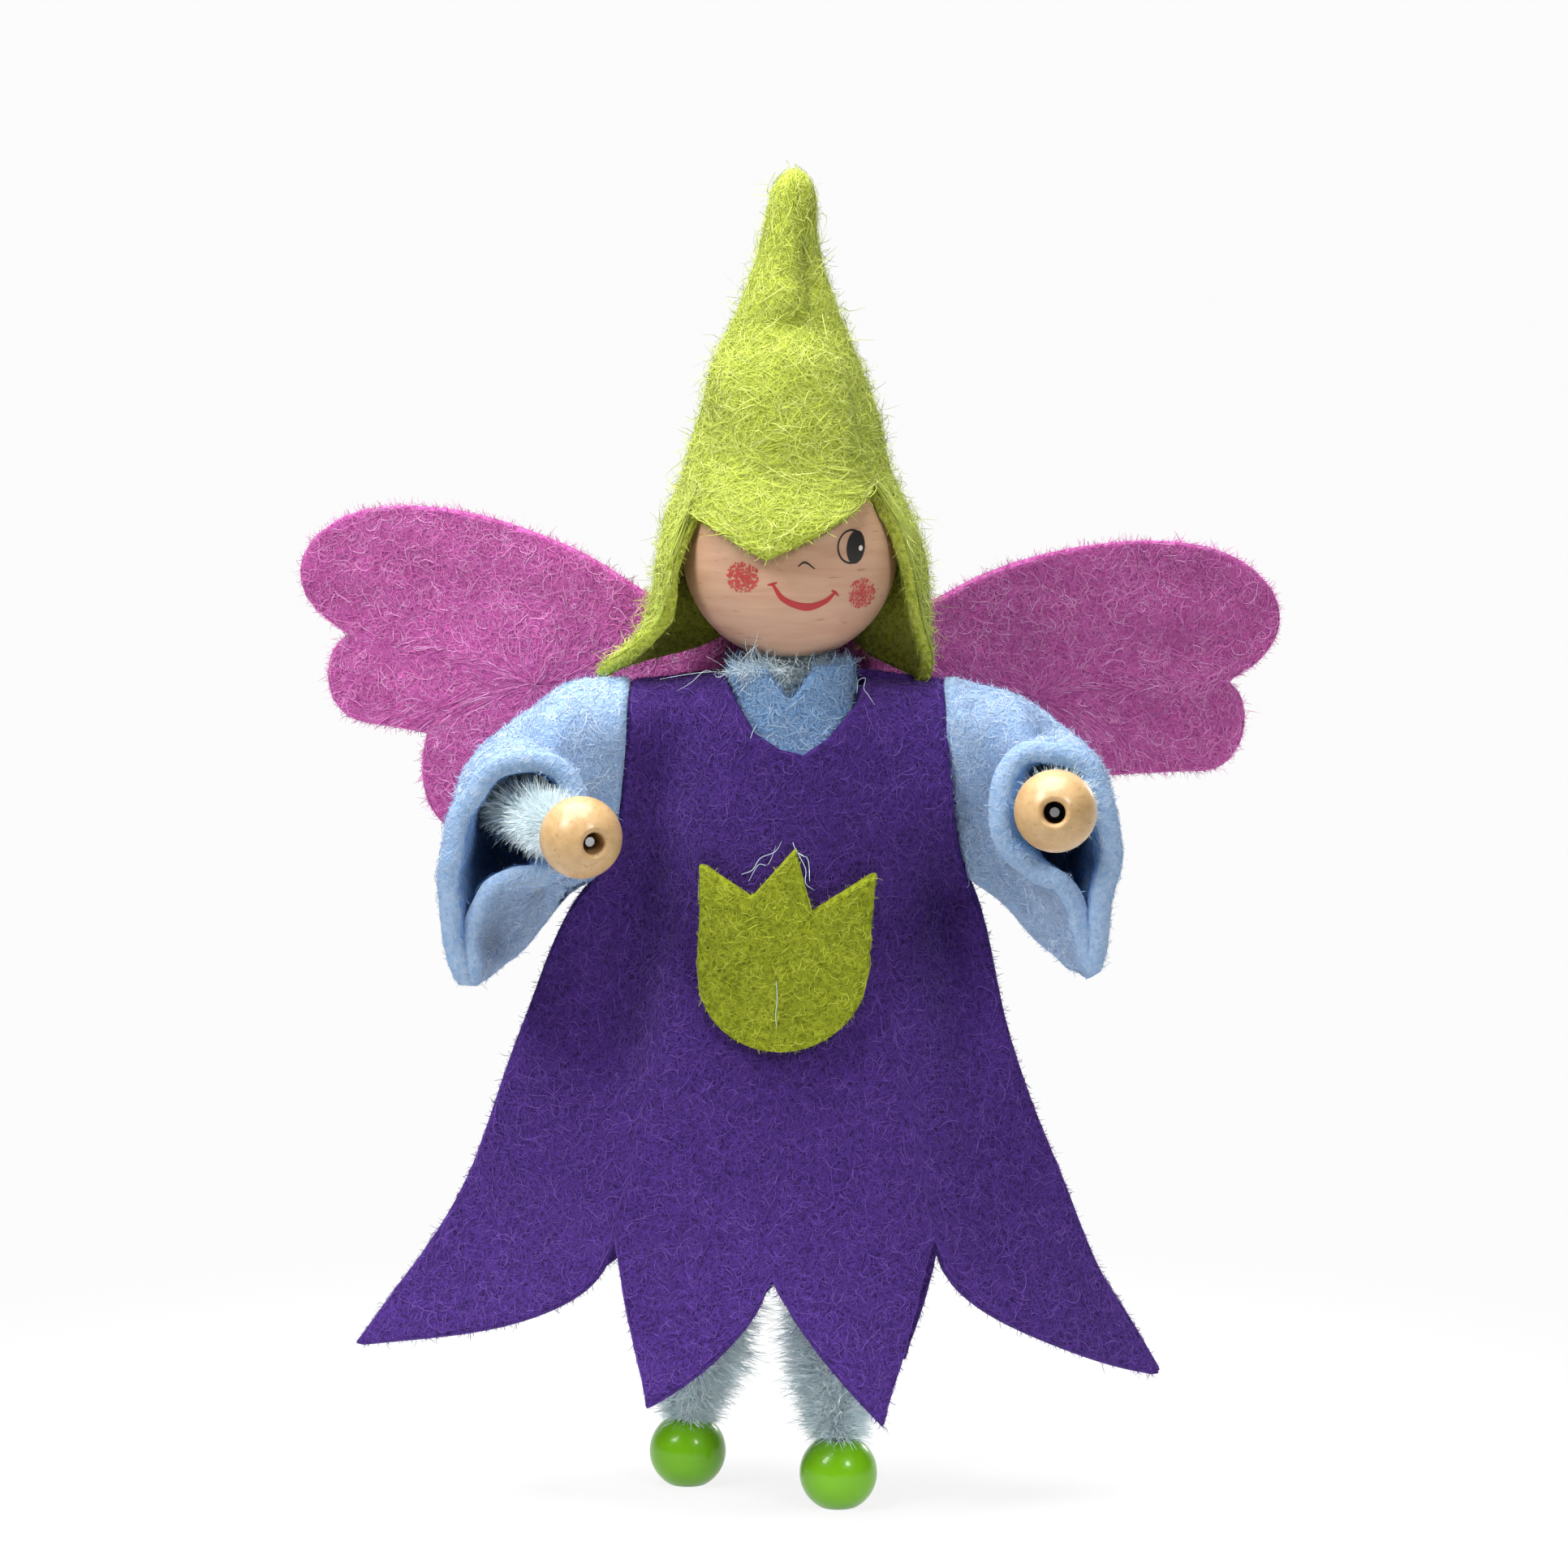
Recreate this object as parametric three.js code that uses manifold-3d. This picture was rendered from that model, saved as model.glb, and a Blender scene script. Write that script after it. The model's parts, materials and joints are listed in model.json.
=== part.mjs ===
// A small bendy fairy doll: wooden beads for head, hands and feet, limbs of chenille stem
// (pile on a steel wire), and clothes and wings cut from craft felt.
// Millimetres, +Z up. The doll faces -Y, and left and right are the doll's own.
// The origin is on the floor below the trunk, and both soles rest on z = 0.
import * as THREE from "three";
import { mergeVertices } from "three/addons/utils/BufferGeometryUtils.js";
import Module from "manifold-3d";

const wasm = await Module();
wasm.setup();

// Stock that the doll is made from
const FELT = 1.3;
const FIT = 0.3;
const JOINT_GAP = 0.15;
const WIRE_R = 0.5;
const WIRE_EASE = 0.3;
const ARM_PILE_R = 2.9;
const LEG_PILE_R = 4.2;
const NECK_PILE_R = 3.3;

// Beads, each with the rim of wood that the drill leaves flat
const HEAD_R = 11;
const HEAD_BORE_R = 3;
const HEAD_RIM = 1;
const HAND_R = 4.1;
const FOOT_R = 4;
const LIMB_BORE_R = 1.25;
const LIMB_RIM = 0.75;

// Trunk, neck and limbs
const HIP_Z = 41;
const TRUNK_HEIGHT = 35.4;
const NECK_X = 0.6;
const NECK_HEIGHT = 4.5;
const NECK_IN_HEAD = 13;
const SHOULDER_X = 17;
const ARM_SWEEP = 11.5;
const ARM_DROP = 7;
const ARM_FORWARD = 3;
const ARM_BEND = 5.75;
const FOREARM_LENGTH = 17;
const FOREARM_DROP = { right: 1.3, left: -1 };
const FOREARM_ANGLE = { right: 24, left: 5 };
const FOREARM_MIDDLE = 14;
const WIRE_RECESS = 1.2;
const WIRE_IN_FOOT = 1.75;
const FOOT_X = { right: -10.1, left: 5.6 };
const FOOT_Y = { right: 5, left: -5 };
const KNEE_SHARE = 0.55;
const HIP_CONE = 60;
const KNEE_CONE = 66;
const ELBOW_CONE = 60;

// Blouse and sleeves; an ease is the room between a felt's middle and the pile or felt under it
const BLOUSE_DROP = 21.1;
const BLOUSE_CORNER = 0.75;
const COLLAR_GAP = 1.5;
const COLLAR_EASE_X = 0.65;
const COLLAR_EASE_Y = 1.05;
const COLLAR_SLIT = 4;
const COLLAR_SLIT_ANGLE = 22;
const SLEEVE_START = 0.5;
const SLEEVE_ROOT_EASE = 1.6;
const SLEEVE_RINGS = [
  { along: 0.35, inner: 3.3, outer: 1.7, top: 2, bottom: 3.1 },
  { along: 0.8, inner: 5.1, outer: 1.5, top: 2.9, bottom: 8.1 },
];
// Sleeve mouth, inward from the elbow and down from the shoulder: top, inner side, point, outer side.
const SLEEVE_MOUTH = [
  [3, 1.8], [7.4, 2.6], [9.6, 8], [7.9, 14], [3.6, 18.6],
  [-2.1, 24.4], [-4.4, 17.8], [-4.4, 11], [-3.4, 4.6],
];
const MOUTH_FORWARD = 12;
const MOUTH_POINT_BACK = 3;

// Dress and its patch; drops are below the shoulder line
const CHEST_EASE = 0.35;
const HEM_FLARE = 8.4;
const HEM_DROP = 75.9;
const UNDERARM_DROP = 23.9;
const ARMHOLE_EASE = 2.5;
const ARMHOLE_CURVE = 0.6;
const SHOULDER_RISE = 3.1;
const SHOULDER_ROUND = 6.5;
const SHOULDER_SLOPE = 1.4;
// How far a side of the dress lies beyond the shoulder joint, by its drop.
const DRESS_SIDE = {
  right: [
    [0, -1.4], [10.9, -0.4], [17.9, 0.6], [24.9, 5], [36.9, 10], [47.4, 13.7], [57.9, 18.8],
    [67.9, 25.6], [72.9, 29.5],
  ],
  left: [
    [0, -0.8], [10.9, 0], [17.9, 1], [24.9, 3.4], [33.9, 5.4], [42.9, 8], [51.9, 11.6], [61.9, 15.5],
    [68.9, 19.6], [75.9, 24],
  ],
};
// Drop of the hem across a panel, from the right seam (-1) to the left seam (1): pointed petals.
const HEM = [
  [-1, 69.3], [-0.8, 67.1], [-0.66, 65.6], [-0.56, 62.9], [-0.49, 58.9], [-0.3, 73.7], [-0.16, 68.9],
  [-0.035, 61.4], [0.1, 68.9], [0.25, 75.2], [0.38, 67.4], [0.5, 58.9], [0.64, 64.3], [0.76, 68.4], [1, 72.3],
];
const BACK_HEM_SHIFT = 0.09;
// Drop of the neck edge across a panel.
const FRONT_NECK = [[-0.37, 0], [-0.16, 5.2], [0.1, 7.8], [0.32, 4.2], [0.47, 0]];
const BACK_NECK = [[-0.37, 0], [-0.16, 4], [0.1, 4.8], [0.32, 3.6], [0.47, 0]];
const TULIP_HALF_WIDTH = 8.6;
const TULIP_TOP_DROP = 18.9;
const TULIP_BASE_DROP = 37.5;
const TULIP_CHEEK = 7.8;
const PATCH_GLUE = 0.5;
// Drop of the tulip's rim across the patch, below its highest side tip.
const TULIP_RIM = [[-1, 0], [-0.42, 3], [0.07, -1.9], [0.3, 4.5], [1, 0.9]];

// Wings, out from the hinge and up from the shoulder line; a row is one curve, with its handles and end
const WING_REACH = 48;
const WING_HINGE_X = 5;
const WING_HINGE_GAP = 0.4;
const WING_ROOT_TOP = 3;
const WING_ROOT_LOW = -12;
const WING_SWEEP = 20;
const WING_DROOP = { right: 0, left: 5 };
const WING_LOWER = { right: 0.5, left: 1.8 };
const UPPER_LOBE = [
  [[5.5, 5.6], [13.3, 10.3]],
  [[19, 14], [WING_REACH - 12, 19.4], [WING_REACH - 3.2, 15.2]],
  [[WING_REACH + 3.2, 12], [WING_REACH + 3.6, 6.4], [WING_REACH - 4, 2.7]],
  [[WING_REACH - 0.2, 1.1], [WING_REACH - 0.4, -6.6], [WING_REACH - 6, -6.9]],
];
// The lower lobe reaches out differently on either side, so its rows start from that reach.
const LOWER_LOBE_REACH = { right: 35, left: 31 };
const LOWER_LOBE = [
  [[3, -7.4], [0, -7.8]],
  [[1.7, -13.4], [0, -19.2], [-7, -19.2]],
];
const LOWER_EDGE_HANDLE = [10, -18.6];

// Hat: outer radius by height above the head's centre
const HAT_PROFILE = [
  [-13, 14.3], [-4.8, 14.1], [2.6, 12.7], [7.6, 10.6], [13.4, 9.2], [19.2, 7.4], [25.2, 4.9],
  [30.2, 3.3], [33.6, 2.6], [36.9, 2.1], [38.4, 1.15],
];
const HAT_TURN = -6;
const HAT_LEAN = 1;
const HAT_LEAN_FROM = 30;
const PEAK_LOW = 0.2;
const NOTCH_HIGH = { right: 4.8, left: 7.6 };
const NOTCH_ANGLE = 50;
const FLAP_DROP = { right: 0.35, left: 0.65 };
const FLAP_FLARE = 5.6;
const FLAP_FLARE_FROM = -4.5;
const PEAK_ROUNDING = 1.15;
// Behind, the brim stays low and curls in under the head.
const BACK_BRIM = { angle: 140, right: -4.2, left: -7, middle: -4.5 };
const BACK_CURL = 3.4;
const CURL_ANGLES = [92, 125];
const CURL_HEIGHTS = [-6.5, -1];

// Sides and rows of the meshes
const HEAD_SIDES = 24;
const HEAD_ARCS = 10;
const BEAD_SIDES = 16;
const BEAD_ARCS = 6;
const STEM_SIDES = 12;
const WIRE_SIDES = 8;
const BEND_STEPS = 8;
const BLOUSE_COLUMNS = 32;
const BLOUSE_ROWS = 8;
const SLEEVE_COLUMNS = 27;
const SLEEVE_ROWS = 7;
const HAT_ROWS = 10;
const TULIP_ROWS = 6;
const DRESS_ROWS = [0, 0.02, 0.05, 0.1, 0.18, 0.28, 0.4, 0.55, 0.7, 0.85, 1];

// Sizes and heights that follow from the ones above
const WIRE_BORE_R = WIRE_R + WIRE_EASE;
const HEAD_END_R = HEAD_BORE_R + HEAD_RIM;
const LIMB_END_R = LIMB_BORE_R + LIMB_RIM;
const FOOT_HEIGHT = 2 * Math.sqrt(FOOT_R ** 2 - LIMB_END_R ** 2);
const TRUNK_TOP = HIP_Z + FIT + TRUNK_HEIGHT;
const SHOULDER_Z = TRUNK_TOP + FIT + ARM_PILE_R;
const SHOULDER_TOP = SHOULDER_Z + ARM_PILE_R + SHOULDER_RISE;
const NECK_Z = SHOULDER_Z + ARM_PILE_R + 2 * JOINT_GAP;
const HEAD_LOW = NECK_Z + NECK_HEIGHT + FIT;
const HEAD_Z = HEAD_LOW + Math.sqrt(HEAD_R ** 2 - HEAD_END_R ** 2);
const BLOUSE_TRUNK_RX = 2 * LEG_PILE_R + 2 * FIT + FELT / 2;
const BLOUSE_TRUNK_RY = LEG_PILE_R + 2 * FIT + FELT / 2;
const BLOUSE_NECK_RX = NECK_PILE_R + FELT / 2 + COLLAR_EASE_X;
const BLOUSE_NECK_RY = NECK_PILE_R + FELT / 2 + COLLAR_EASE_Y;
const CHEST_DEPTH = BLOUSE_TRUNK_RY + FELT + CHEST_EASE;
const SIDES = { right: -1, left: 1 };

const radians = (degrees) => (degrees * Math.PI) / 180;
const point = (x, y, z) => new THREE.Vector3(x, y, z);

const doll = new THREE.Group();
doll.name = "felt_fairy_doll";

function finish(colour, roughness, metalness = 0) {
  return new THREE.MeshStandardMaterial({ color: colour, roughness, metalness });
}

const PURPLE_FELT = "#51348c";
const BLUE_FELT = "#9fc0e4";
const LIME_FELT = "#b8c84a";
const TULIP_FELT = "#95a22c";
const PINK_FELT = "#b75a9f";
const PALE_PILE = "#a9c3cc";
const STEEL = "#b4b7ba";
const BEECH = "#dcbf90";
const HEAD_WOOD = "#d8b294";
const GREEN_LACQUER = "#7dbb29";

const felt = (colour) => finish(colour, 0.95);
const pile = () => finish(PALE_PILE, 0.95);
const steel = () => finish(STEEL, 0.35, 1);

function add(name, geometry, material, place = point(0, 0, 0), along = point(0, 0, 1)) {
  const mesh = new THREE.Mesh(geometry, material);
  mesh.name = name;
  mesh.position.copy(place);
  mesh.quaternion.setFromUnitVectors(point(0, 0, 1), along.clone().normalize());
  doll.add(mesh);
}

// A piecewise line through points of (x, y), and a smooth curve through the same kind of points.
function polyline(points) {
  return (x) => {
    const end = points.findIndex(([px], i) => i > 0 && (x <= px || i === points.length - 1));
    const [x0, y0] = points[end - 1];
    const [x1, y1] = points[end];
    return y0 + ((y1 - y0) * (x - x0)) / (x1 - x0);
  };
}

function smooth(points) {
  const last = points.length - 1;
  const slope = (i) => {
    const [xa, ya] = points[Math.max(i - 1, 0)];
    const [xb, yb] = points[Math.min(i + 1, last)];
    return (yb - ya) / (xb - xa);
  };
  return (x) => {
    const end = points.findIndex(([px], i) => i > 0 && (x <= px || i === last));
    const [x0, y0] = points[end - 1];
    const [x1, y1] = points[end];
    const span = x1 - x0;
    const t = Math.min(Math.max((x - x0) / span, 0), 1);
    const rise = y0 * (1 + 2 * t) * (1 - t) ** 2 + y1 * t * t * (3 - 2 * t);
    return rise + span * (slope(end - 1) * t * (1 - t) ** 2 - slope(end) * t * t * (1 - t));
  };
}

function stations(features, perGap) {
  const sorted = [...new Set(features)].sort((a, b) => a - b);
  const out = [];
  sorted.slice(0, -1).forEach((start, i) => {
    for (let k = 0; k < perGap; k += 1) out.push(start + ((sorted[i + 1] - start) * k) / perGap);
  });
  return [...out, sorted.at(-1)];
}

const evenly = (count, closed = false) =>
  Array.from({ length: count }, (_, i) => i / (closed ? count : count - 1));

function bodyFrom(positions, triangles) {
  const geometry = new THREE.BufferGeometry();
  geometry.setAttribute("position", new THREE.Float32BufferAttribute(positions, 3));
  geometry.setIndex(triangles);
  return geometry;
}

// Turns the faces of a closed body outwards, judged by the sign of its volume.
function outward(geometry) {
  const merged = geometry.clone();
  merged.deleteAttribute("normal");
  merged.deleteAttribute("uv");
  const body = mergeVertices(merged, 1e-4);
  const place = body.getAttribute("position");
  const corner = (i) => new THREE.Vector3().fromBufferAttribute(place, body.index.getX(i));
  let volume = 0;
  for (let i = 0; i < body.index.count; i += 3) {
    volume += corner(i).dot(corner(i + 1).cross(corner(i + 2)));
  }
  if (volume < 0) {
    const flipped = Array.from(body.index.array).reverse();
    body.setIndex(flipped);
  }
  return body;
}

// A sheet of felt: a grid of middle points, thickened along its own normals, open or closed to a ring.
function feltSheet(pointAt, us, vs, closed = false, thickness = FELT) {
  const columns = us.length;
  const rows = vs.length;
  const middle = us.map((u) => vs.map((v) => pointAt(u, v)));
  const wrap = (i) => (closed ? (i + columns) % columns : Math.min(Math.max(i, 0), columns - 1));
  const normal = (i, j) => {
    const across = middle[wrap(i + 1)][j].clone().sub(middle[wrap(i - 1)][j]);
    const down = middle[i][Math.min(j + 1, rows - 1)].clone().sub(middle[i][Math.max(j - 1, 0)]);
    return across.cross(down).normalize();
  };
  const positions = [];
  for (const side of [0.5, -0.5]) {
    for (let i = 0; i < columns; i += 1) {
      for (let j = 0; j < rows; j += 1) {
        positions.push(...middle[i][j].clone().addScaledVector(normal(i, j), side * thickness));
      }
    }
  }
  const at = (face, i, j) => face * columns * rows + wrap(i) * rows + j;
  const triangles = [];
  const quad = (a, b, c, d) => triangles.push(a, b, c, a, c, d);
  const gaps = closed ? columns : columns - 1;
  for (let i = 0; i < gaps; i += 1) {
    for (let j = 0; j < rows - 1; j += 1) {
      quad(at(0, i, j), at(0, i + 1, j), at(0, i + 1, j + 1), at(0, i, j + 1));
      quad(at(1, i, j), at(1, i, j + 1), at(1, i + 1, j + 1), at(1, i + 1, j));
    }
    quad(at(0, i + 1, 0), at(0, i, 0), at(1, i, 0), at(1, i + 1, 0));
    quad(at(0, i, rows - 1), at(0, i + 1, rows - 1), at(1, i + 1, rows - 1), at(1, i, rows - 1));
  }
  if (!closed) {
    for (let j = 0; j < rows - 1; j += 1) {
      quad(at(0, 0, j), at(0, 0, j + 1), at(1, 0, j + 1), at(1, 0, j));
      const end = columns - 1;
      quad(at(0, end, j + 1), at(0, end, j), at(1, end, j), at(1, end, j + 1));
    }
  }
  return outward(bodyFrom(positions, triangles));
}

function turned(profile, sides) {
  const closedProfile = [...profile, profile[0]].map(([r, z]) => new THREE.Vector2(r, z));
  const geometry = new THREE.LatheGeometry(closedProfile, sides);
  return outward(geometry.rotateX(Math.PI / 2));
}

// A drilled bead round +Z, flattened where the drill came through.
function bead(radius, boreR, endR, sides, arcs) {
  const half = Math.acos(endR / radius);
  const outer = evenly(arcs + 1).map((t) => {
    const angle = -half + 2 * half * t;
    return [radius * Math.cos(angle), radius * Math.sin(angle)];
  });
  const [, top] = outer.at(-1);
  return turned([...outer, [boreR, top], [boreR, -top]], sides);
}

// A straight chenille stem from z = 0, with its wire's bore and coned ends that leave room to bend.
function stem(length, radius, startCone, endCone) {
  const rise = (r, cone) => (cone ? r / Math.tan(radians(cone)) : 0);
  return turned(
    [
      [WIRE_BORE_R, rise(WIRE_BORE_R, startCone)],
      [radius, rise(radius, startCone)],
      [radius, length - rise(radius, endCone)],
      [WIRE_BORE_R, length - rise(WIRE_BORE_R, endCone)],
    ],
    STEM_SIDES,
  );
}

function rod(length) {
  const wire = new THREE.CylinderGeometry(WIRE_R, WIRE_R, length, WIRE_SIDES);
  return outward(wire.rotateX(Math.PI / 2).translate(0, 0, length / 2));
}

function disc(radius, boreR = 0) {
  const shape = new THREE.Shape().absarc(0, 0, radius, 0, 2 * Math.PI);
  if (boreR) shape.holes.push(new THREE.Path().absarc(0, 0, boreR, 0, 2 * Math.PI, true));
  return shape;
}

function tube(shape, curve, sides) {
  const settings = { steps: BEND_STEPS, curveSegments: sides / 2, extrudePath: curve, bevelEnabled: false };
  return outward(new THREE.ExtrudeGeometry(shape, settings));
}

function solid(geometry) {
  const body = outward(geometry);
  const vertProperties = new Float32Array(body.getAttribute("position").array);
  const triVerts = new Uint32Array(body.index.array);
  return new wasm.Manifold(new wasm.Mesh({ numProp: 3, vertProperties, triVerts }));
}

function geometryOf(manifold) {
  const mesh = manifold.getMesh();
  return bodyFrom(Array.from(mesh.vertProperties), Array.from(mesh.triVerts));
}

// Trunk: two chenille strands side by side, each on its own wire, with the arm stem lying across the top
function makeTrunk() {
  const strand = LEG_PILE_R;
  const outline = new THREE.Shape();
  outline.absarc(strand, 0, strand, -Math.PI / 2, Math.PI / 2);
  outline.absarc(-strand, 0, strand, Math.PI / 2, (3 * Math.PI) / 2);
  for (const sign of Object.values(SIDES)) {
    outline.holes.push(new THREE.Path().absarc(sign * strand, 0, WIRE_BORE_R, 0, 2 * Math.PI, true));
  }
  const settings = { depth: TRUNK_HEIGHT, curveSegments: 8, bevelEnabled: false };
  const low = HIP_Z + FIT;
  add("torso_stem", outward(new THREE.ExtrudeGeometry(outline, settings)), pile(), point(0, 0, low));
  for (const [side, sign] of Object.entries(SIDES)) {
    add(`${side}_torso_wire`, rod(TRUNK_HEIGHT), steel(), point(sign * strand, 0, low));
  }
  const across = 2 * (SHOULDER_X - JOINT_GAP);
  const start = point(-across / 2, 0, SHOULDER_Z);
  add("shoulder_stem", stem(across, ARM_PILE_R, 0, 0), pile(), start, point(1, 0, 0));
  add("shoulder_wire", rod(across), steel(), start, point(1, 0, 0));
}

// Neck and head: the neck's pile is squeezed into the bead's bore
function makeHead() {
  const cone = WIRE_BORE_R / Math.tan(radians(HIP_CONE));
  const squeezed = HEAD_BORE_R - FIT;
  const neck = [
    [WIRE_BORE_R, cone],
    [NECK_PILE_R, NECK_PILE_R / Math.tan(radians(HIP_CONE))],
    [NECK_PILE_R, NECK_HEIGHT - FIT],
    [squeezed, NECK_HEIGHT],
    [squeezed, NECK_HEIGHT + NECK_IN_HEAD],
    [WIRE_BORE_R, NECK_HEIGHT + NECK_IN_HEAD],
  ];
  const base = point(NECK_X, 0, NECK_Z);
  add("neck_stem", turned(neck, BEAD_SIDES), pile(), base);
  add("neck_wire", rod(NECK_HEIGHT + NECK_IN_HEAD), steel(), point(NECK_X, 0, NECK_Z + JOINT_GAP));
  const headBead = bead(HEAD_R, HEAD_BORE_R, HEAD_END_R, HEAD_SIDES, HEAD_ARCS);
  add("head_bead", headBead, finish(HEAD_WOOD, 0.45), point(NECK_X, 0, HEAD_Z));
}

// Hat: a felt cone with a short peak in front, a low brim behind and a long flap that ends at either shoulder
function makeHat() {
  const profile = smooth(HAT_PROFILE);
  const flapLow = (side) => SHOULDER_TOP - FLAP_DROP[side] - HEAD_Z;
  const brim = [
    [-180, BACK_BRIM.middle], [-BACK_BRIM.angle, BACK_BRIM.right], [-90, flapLow("right")],
    [-NOTCH_ANGLE, NOTCH_HIGH.right], [0, PEAK_LOW], [NOTCH_ANGLE, NOTCH_HIGH.left],
    [90, flapLow("left")], [BACK_BRIM.angle, BACK_BRIM.left], [180, BACK_BRIM.middle],
  ];
  const brimLine = polyline(brim);
  const tip = HAT_PROFILE.at(-1)[0];
  const seat = (z) => Math.sqrt(Math.max(HEAD_R ** 2 - z * z, 0)) + FIT + FELT;
  const brimAt = (angle) => {
    const [start, end] = brim.slice(1).map((p, i) => [brim[i], p]).find(([, to]) => angle <= to[0]);
    const low = Math.min(start[1], end[1]);
    const high = Math.max(start[1], end[1]);
    const share = Math.max((brimLine(angle) - low) / (high - low), 0);
    return low + (high - low) * share ** (Math.abs(angle) < 90 ? PEAK_ROUNDING : 1);
  };
  const pointAt = (angle, v) => {
    const z = tip + (brimAt(angle) - tip) * v;
    const below = Math.max(FLAP_FLARE_FROM - z, 0) / (FLAP_FLARE_FROM - flapLow("right"));
    const lean = HAT_LEAN * (Math.max(z - HAT_LEAN_FROM, 0) / (tip - HAT_LEAN_FROM)) ** 2;
    const behind = THREE.MathUtils.smoothstep(Math.abs(angle), ...CURL_ANGLES);
    const flare = Math.max(-Math.sin(radians(angle)), 0) * FLAP_FLARE * below ** 2 * (1 - behind);
    const curl = BACK_CURL * behind * (1 - THREE.MathUtils.smoothstep(z, ...CURL_HEIGHTS));
    const r = Math.max(profile(z) - curl, seat(z)) - FELT / 2 + flare;
    const azimuth = radians(angle + HAT_TURN);
    return point(NECK_X + lean + r * Math.sin(azimuth), -r * Math.cos(azimuth), HEAD_Z + z);
  };
  const angles = stations(brim.map(([angle]) => angle), 4).slice(0, -1);
  add("hat", feltSheet(pointAt, angles, evenly(HAT_ROWS), true), felt(LIME_FELT));
}

// Blouse: a felt tube round the trunk, with armholes and a collar slit at the throat
function makeBlouse() {
  const low = SHOULDER_Z - BLOUSE_DROP;
  const high = HEAD_LOW - COLLAR_GAP;
  const yoke = SHOULDER_Z - ARM_PILE_R;
  const collar = SHOULDER_Z + ARM_PILE_R;
  const between = (trunk, neck) => [[low, trunk], [yoke, trunk], [collar, neck], [high, neck]];
  const rx = smooth(between(BLOUSE_TRUNK_RX, BLOUSE_NECK_RX));
  const ry = polyline(between(BLOUSE_TRUNK_RY, BLOUSE_NECK_RY));
  const shift = polyline(between(0, NECK_X));
  const rounded = (wave) => Math.sign(wave) * Math.abs(wave) ** BLOUSE_CORNER;
  const pointAt = (turn, v) => {
    const angle = 360 * turn;
    const fromFront = Math.min(angle, 360 - angle);
    const top = high - COLLAR_SLIT * Math.max(1 - fromFront / COLLAR_SLIT_ANGLE, 0);
    const z = top + (low - top) * v;
    const across = rx(z) * rounded(Math.sin(radians(angle)));
    return point(shift(z) + across, -ry(z) * rounded(Math.cos(radians(angle))), z);
  };
  const wall = feltSheet(pointAt, evenly(BLOUSE_COLUMNS, true), evenly(BLOUSE_ROWS), true);
  const hole = new THREE.CylinderGeometry(ARM_PILE_R + FIT, ARM_PILE_R + FIT, 2 * SHOULDER_X, BEAD_SIDES);
  hole.rotateZ(Math.PI / 2).translate(0, 0, SHOULDER_Z);
  add("blouse", geometryOf(solid(wall).subtract(solid(hole))), felt(BLUE_FELT));
}

// Dress: front and back panels that meet at the shoulders and side seams and leave an armhole between
const dressSide = { right: smooth(DRESS_SIDE.right), left: smooth(DRESS_SIDE.left) };
const hem = polyline(HEM);
const seamY = FELT / 2 + FIT / 2;
const limited = (share) => Math.min(Math.max(share, 0), 1);

function dressHalfWidth(x, drop) {
  return SHOULDER_X + (x < 0 ? dressSide.right(drop) : dressSide.left(drop));
}

// Distance of a panel's middle from the plane of the side seams.
function dressDepth(u, drop) {
  const line = SHOULDER_SLOPE * Math.abs(u);
  const open = limited((UNDERARM_DROP - drop) / (UNDERARM_DROP - line));
  const armhole = ARM_PILE_R + ARMHOLE_EASE;
  const edge = seamY + (armhole - seamY) * Math.sin(Math.PI * Math.min(open, 0.5)) ** ARMHOLE_CURVE;
  const down = Math.max(drop - UNDERARM_DROP, 0) / (HEM_DROP - UNDERARM_DROP);
  const centre = CHEST_DEPTH + HEM_FLARE * down;
  const bulge = edge + (centre - edge) * Math.cos((Math.PI * u) / 2);
  const over = limited(1 - (drop - line) / SHOULDER_ROUND);
  return seamY + (bulge - seamY) * Math.sqrt(1 - over * over);
}

function makePanel(name, facing, neck, hemAt) {
  const neckEdge = polyline(neck);
  const [first, last] = [neck[0][0], neck.at(-1)[0]];
  const top = (u) => SHOULDER_SLOPE * Math.abs(u) + (u > first && u < last ? neckEdge(u) : 0);
  const pointAt = (u, v) => {
    const drop = top(u) + (hemAt(u) - top(u)) * v;
    return point(u * dressHalfWidth(u, drop), facing * dressDepth(u, drop), SHOULDER_TOP - drop);
  };
  const columns = stations([...HEM.map(([u]) => u), first, last], 2);
  add(name, feltSheet(pointAt, columns, DRESS_ROWS), felt(PURPLE_FELT));
}

// Tulip patch: felt glued flat on the dress front
function makeTulip() {
  const rim = polyline(TULIP_RIM);
  const pointAt = (u, v) => {
    const high = TULIP_TOP_DROP + rim(u);
    const low = TULIP_BASE_DROP - TULIP_CHEEK * (1 - Math.sqrt(1 - u * u));
    const drop = high + (low - high) * v;
    const x = u * TULIP_HALF_WIDTH;
    const depth = dressDepth(x / dressHalfWidth(x, drop), drop) + FELT + PATCH_GLUE;
    return point(x, -depth, SHOULDER_TOP - drop);
  };
  const columns = stations(TULIP_RIM.map(([u]) => u), 4);
  add("tulip_patch", feltSheet(pointAt, columns, evenly(TULIP_ROWS)), felt(TULIP_FELT));
}

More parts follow.
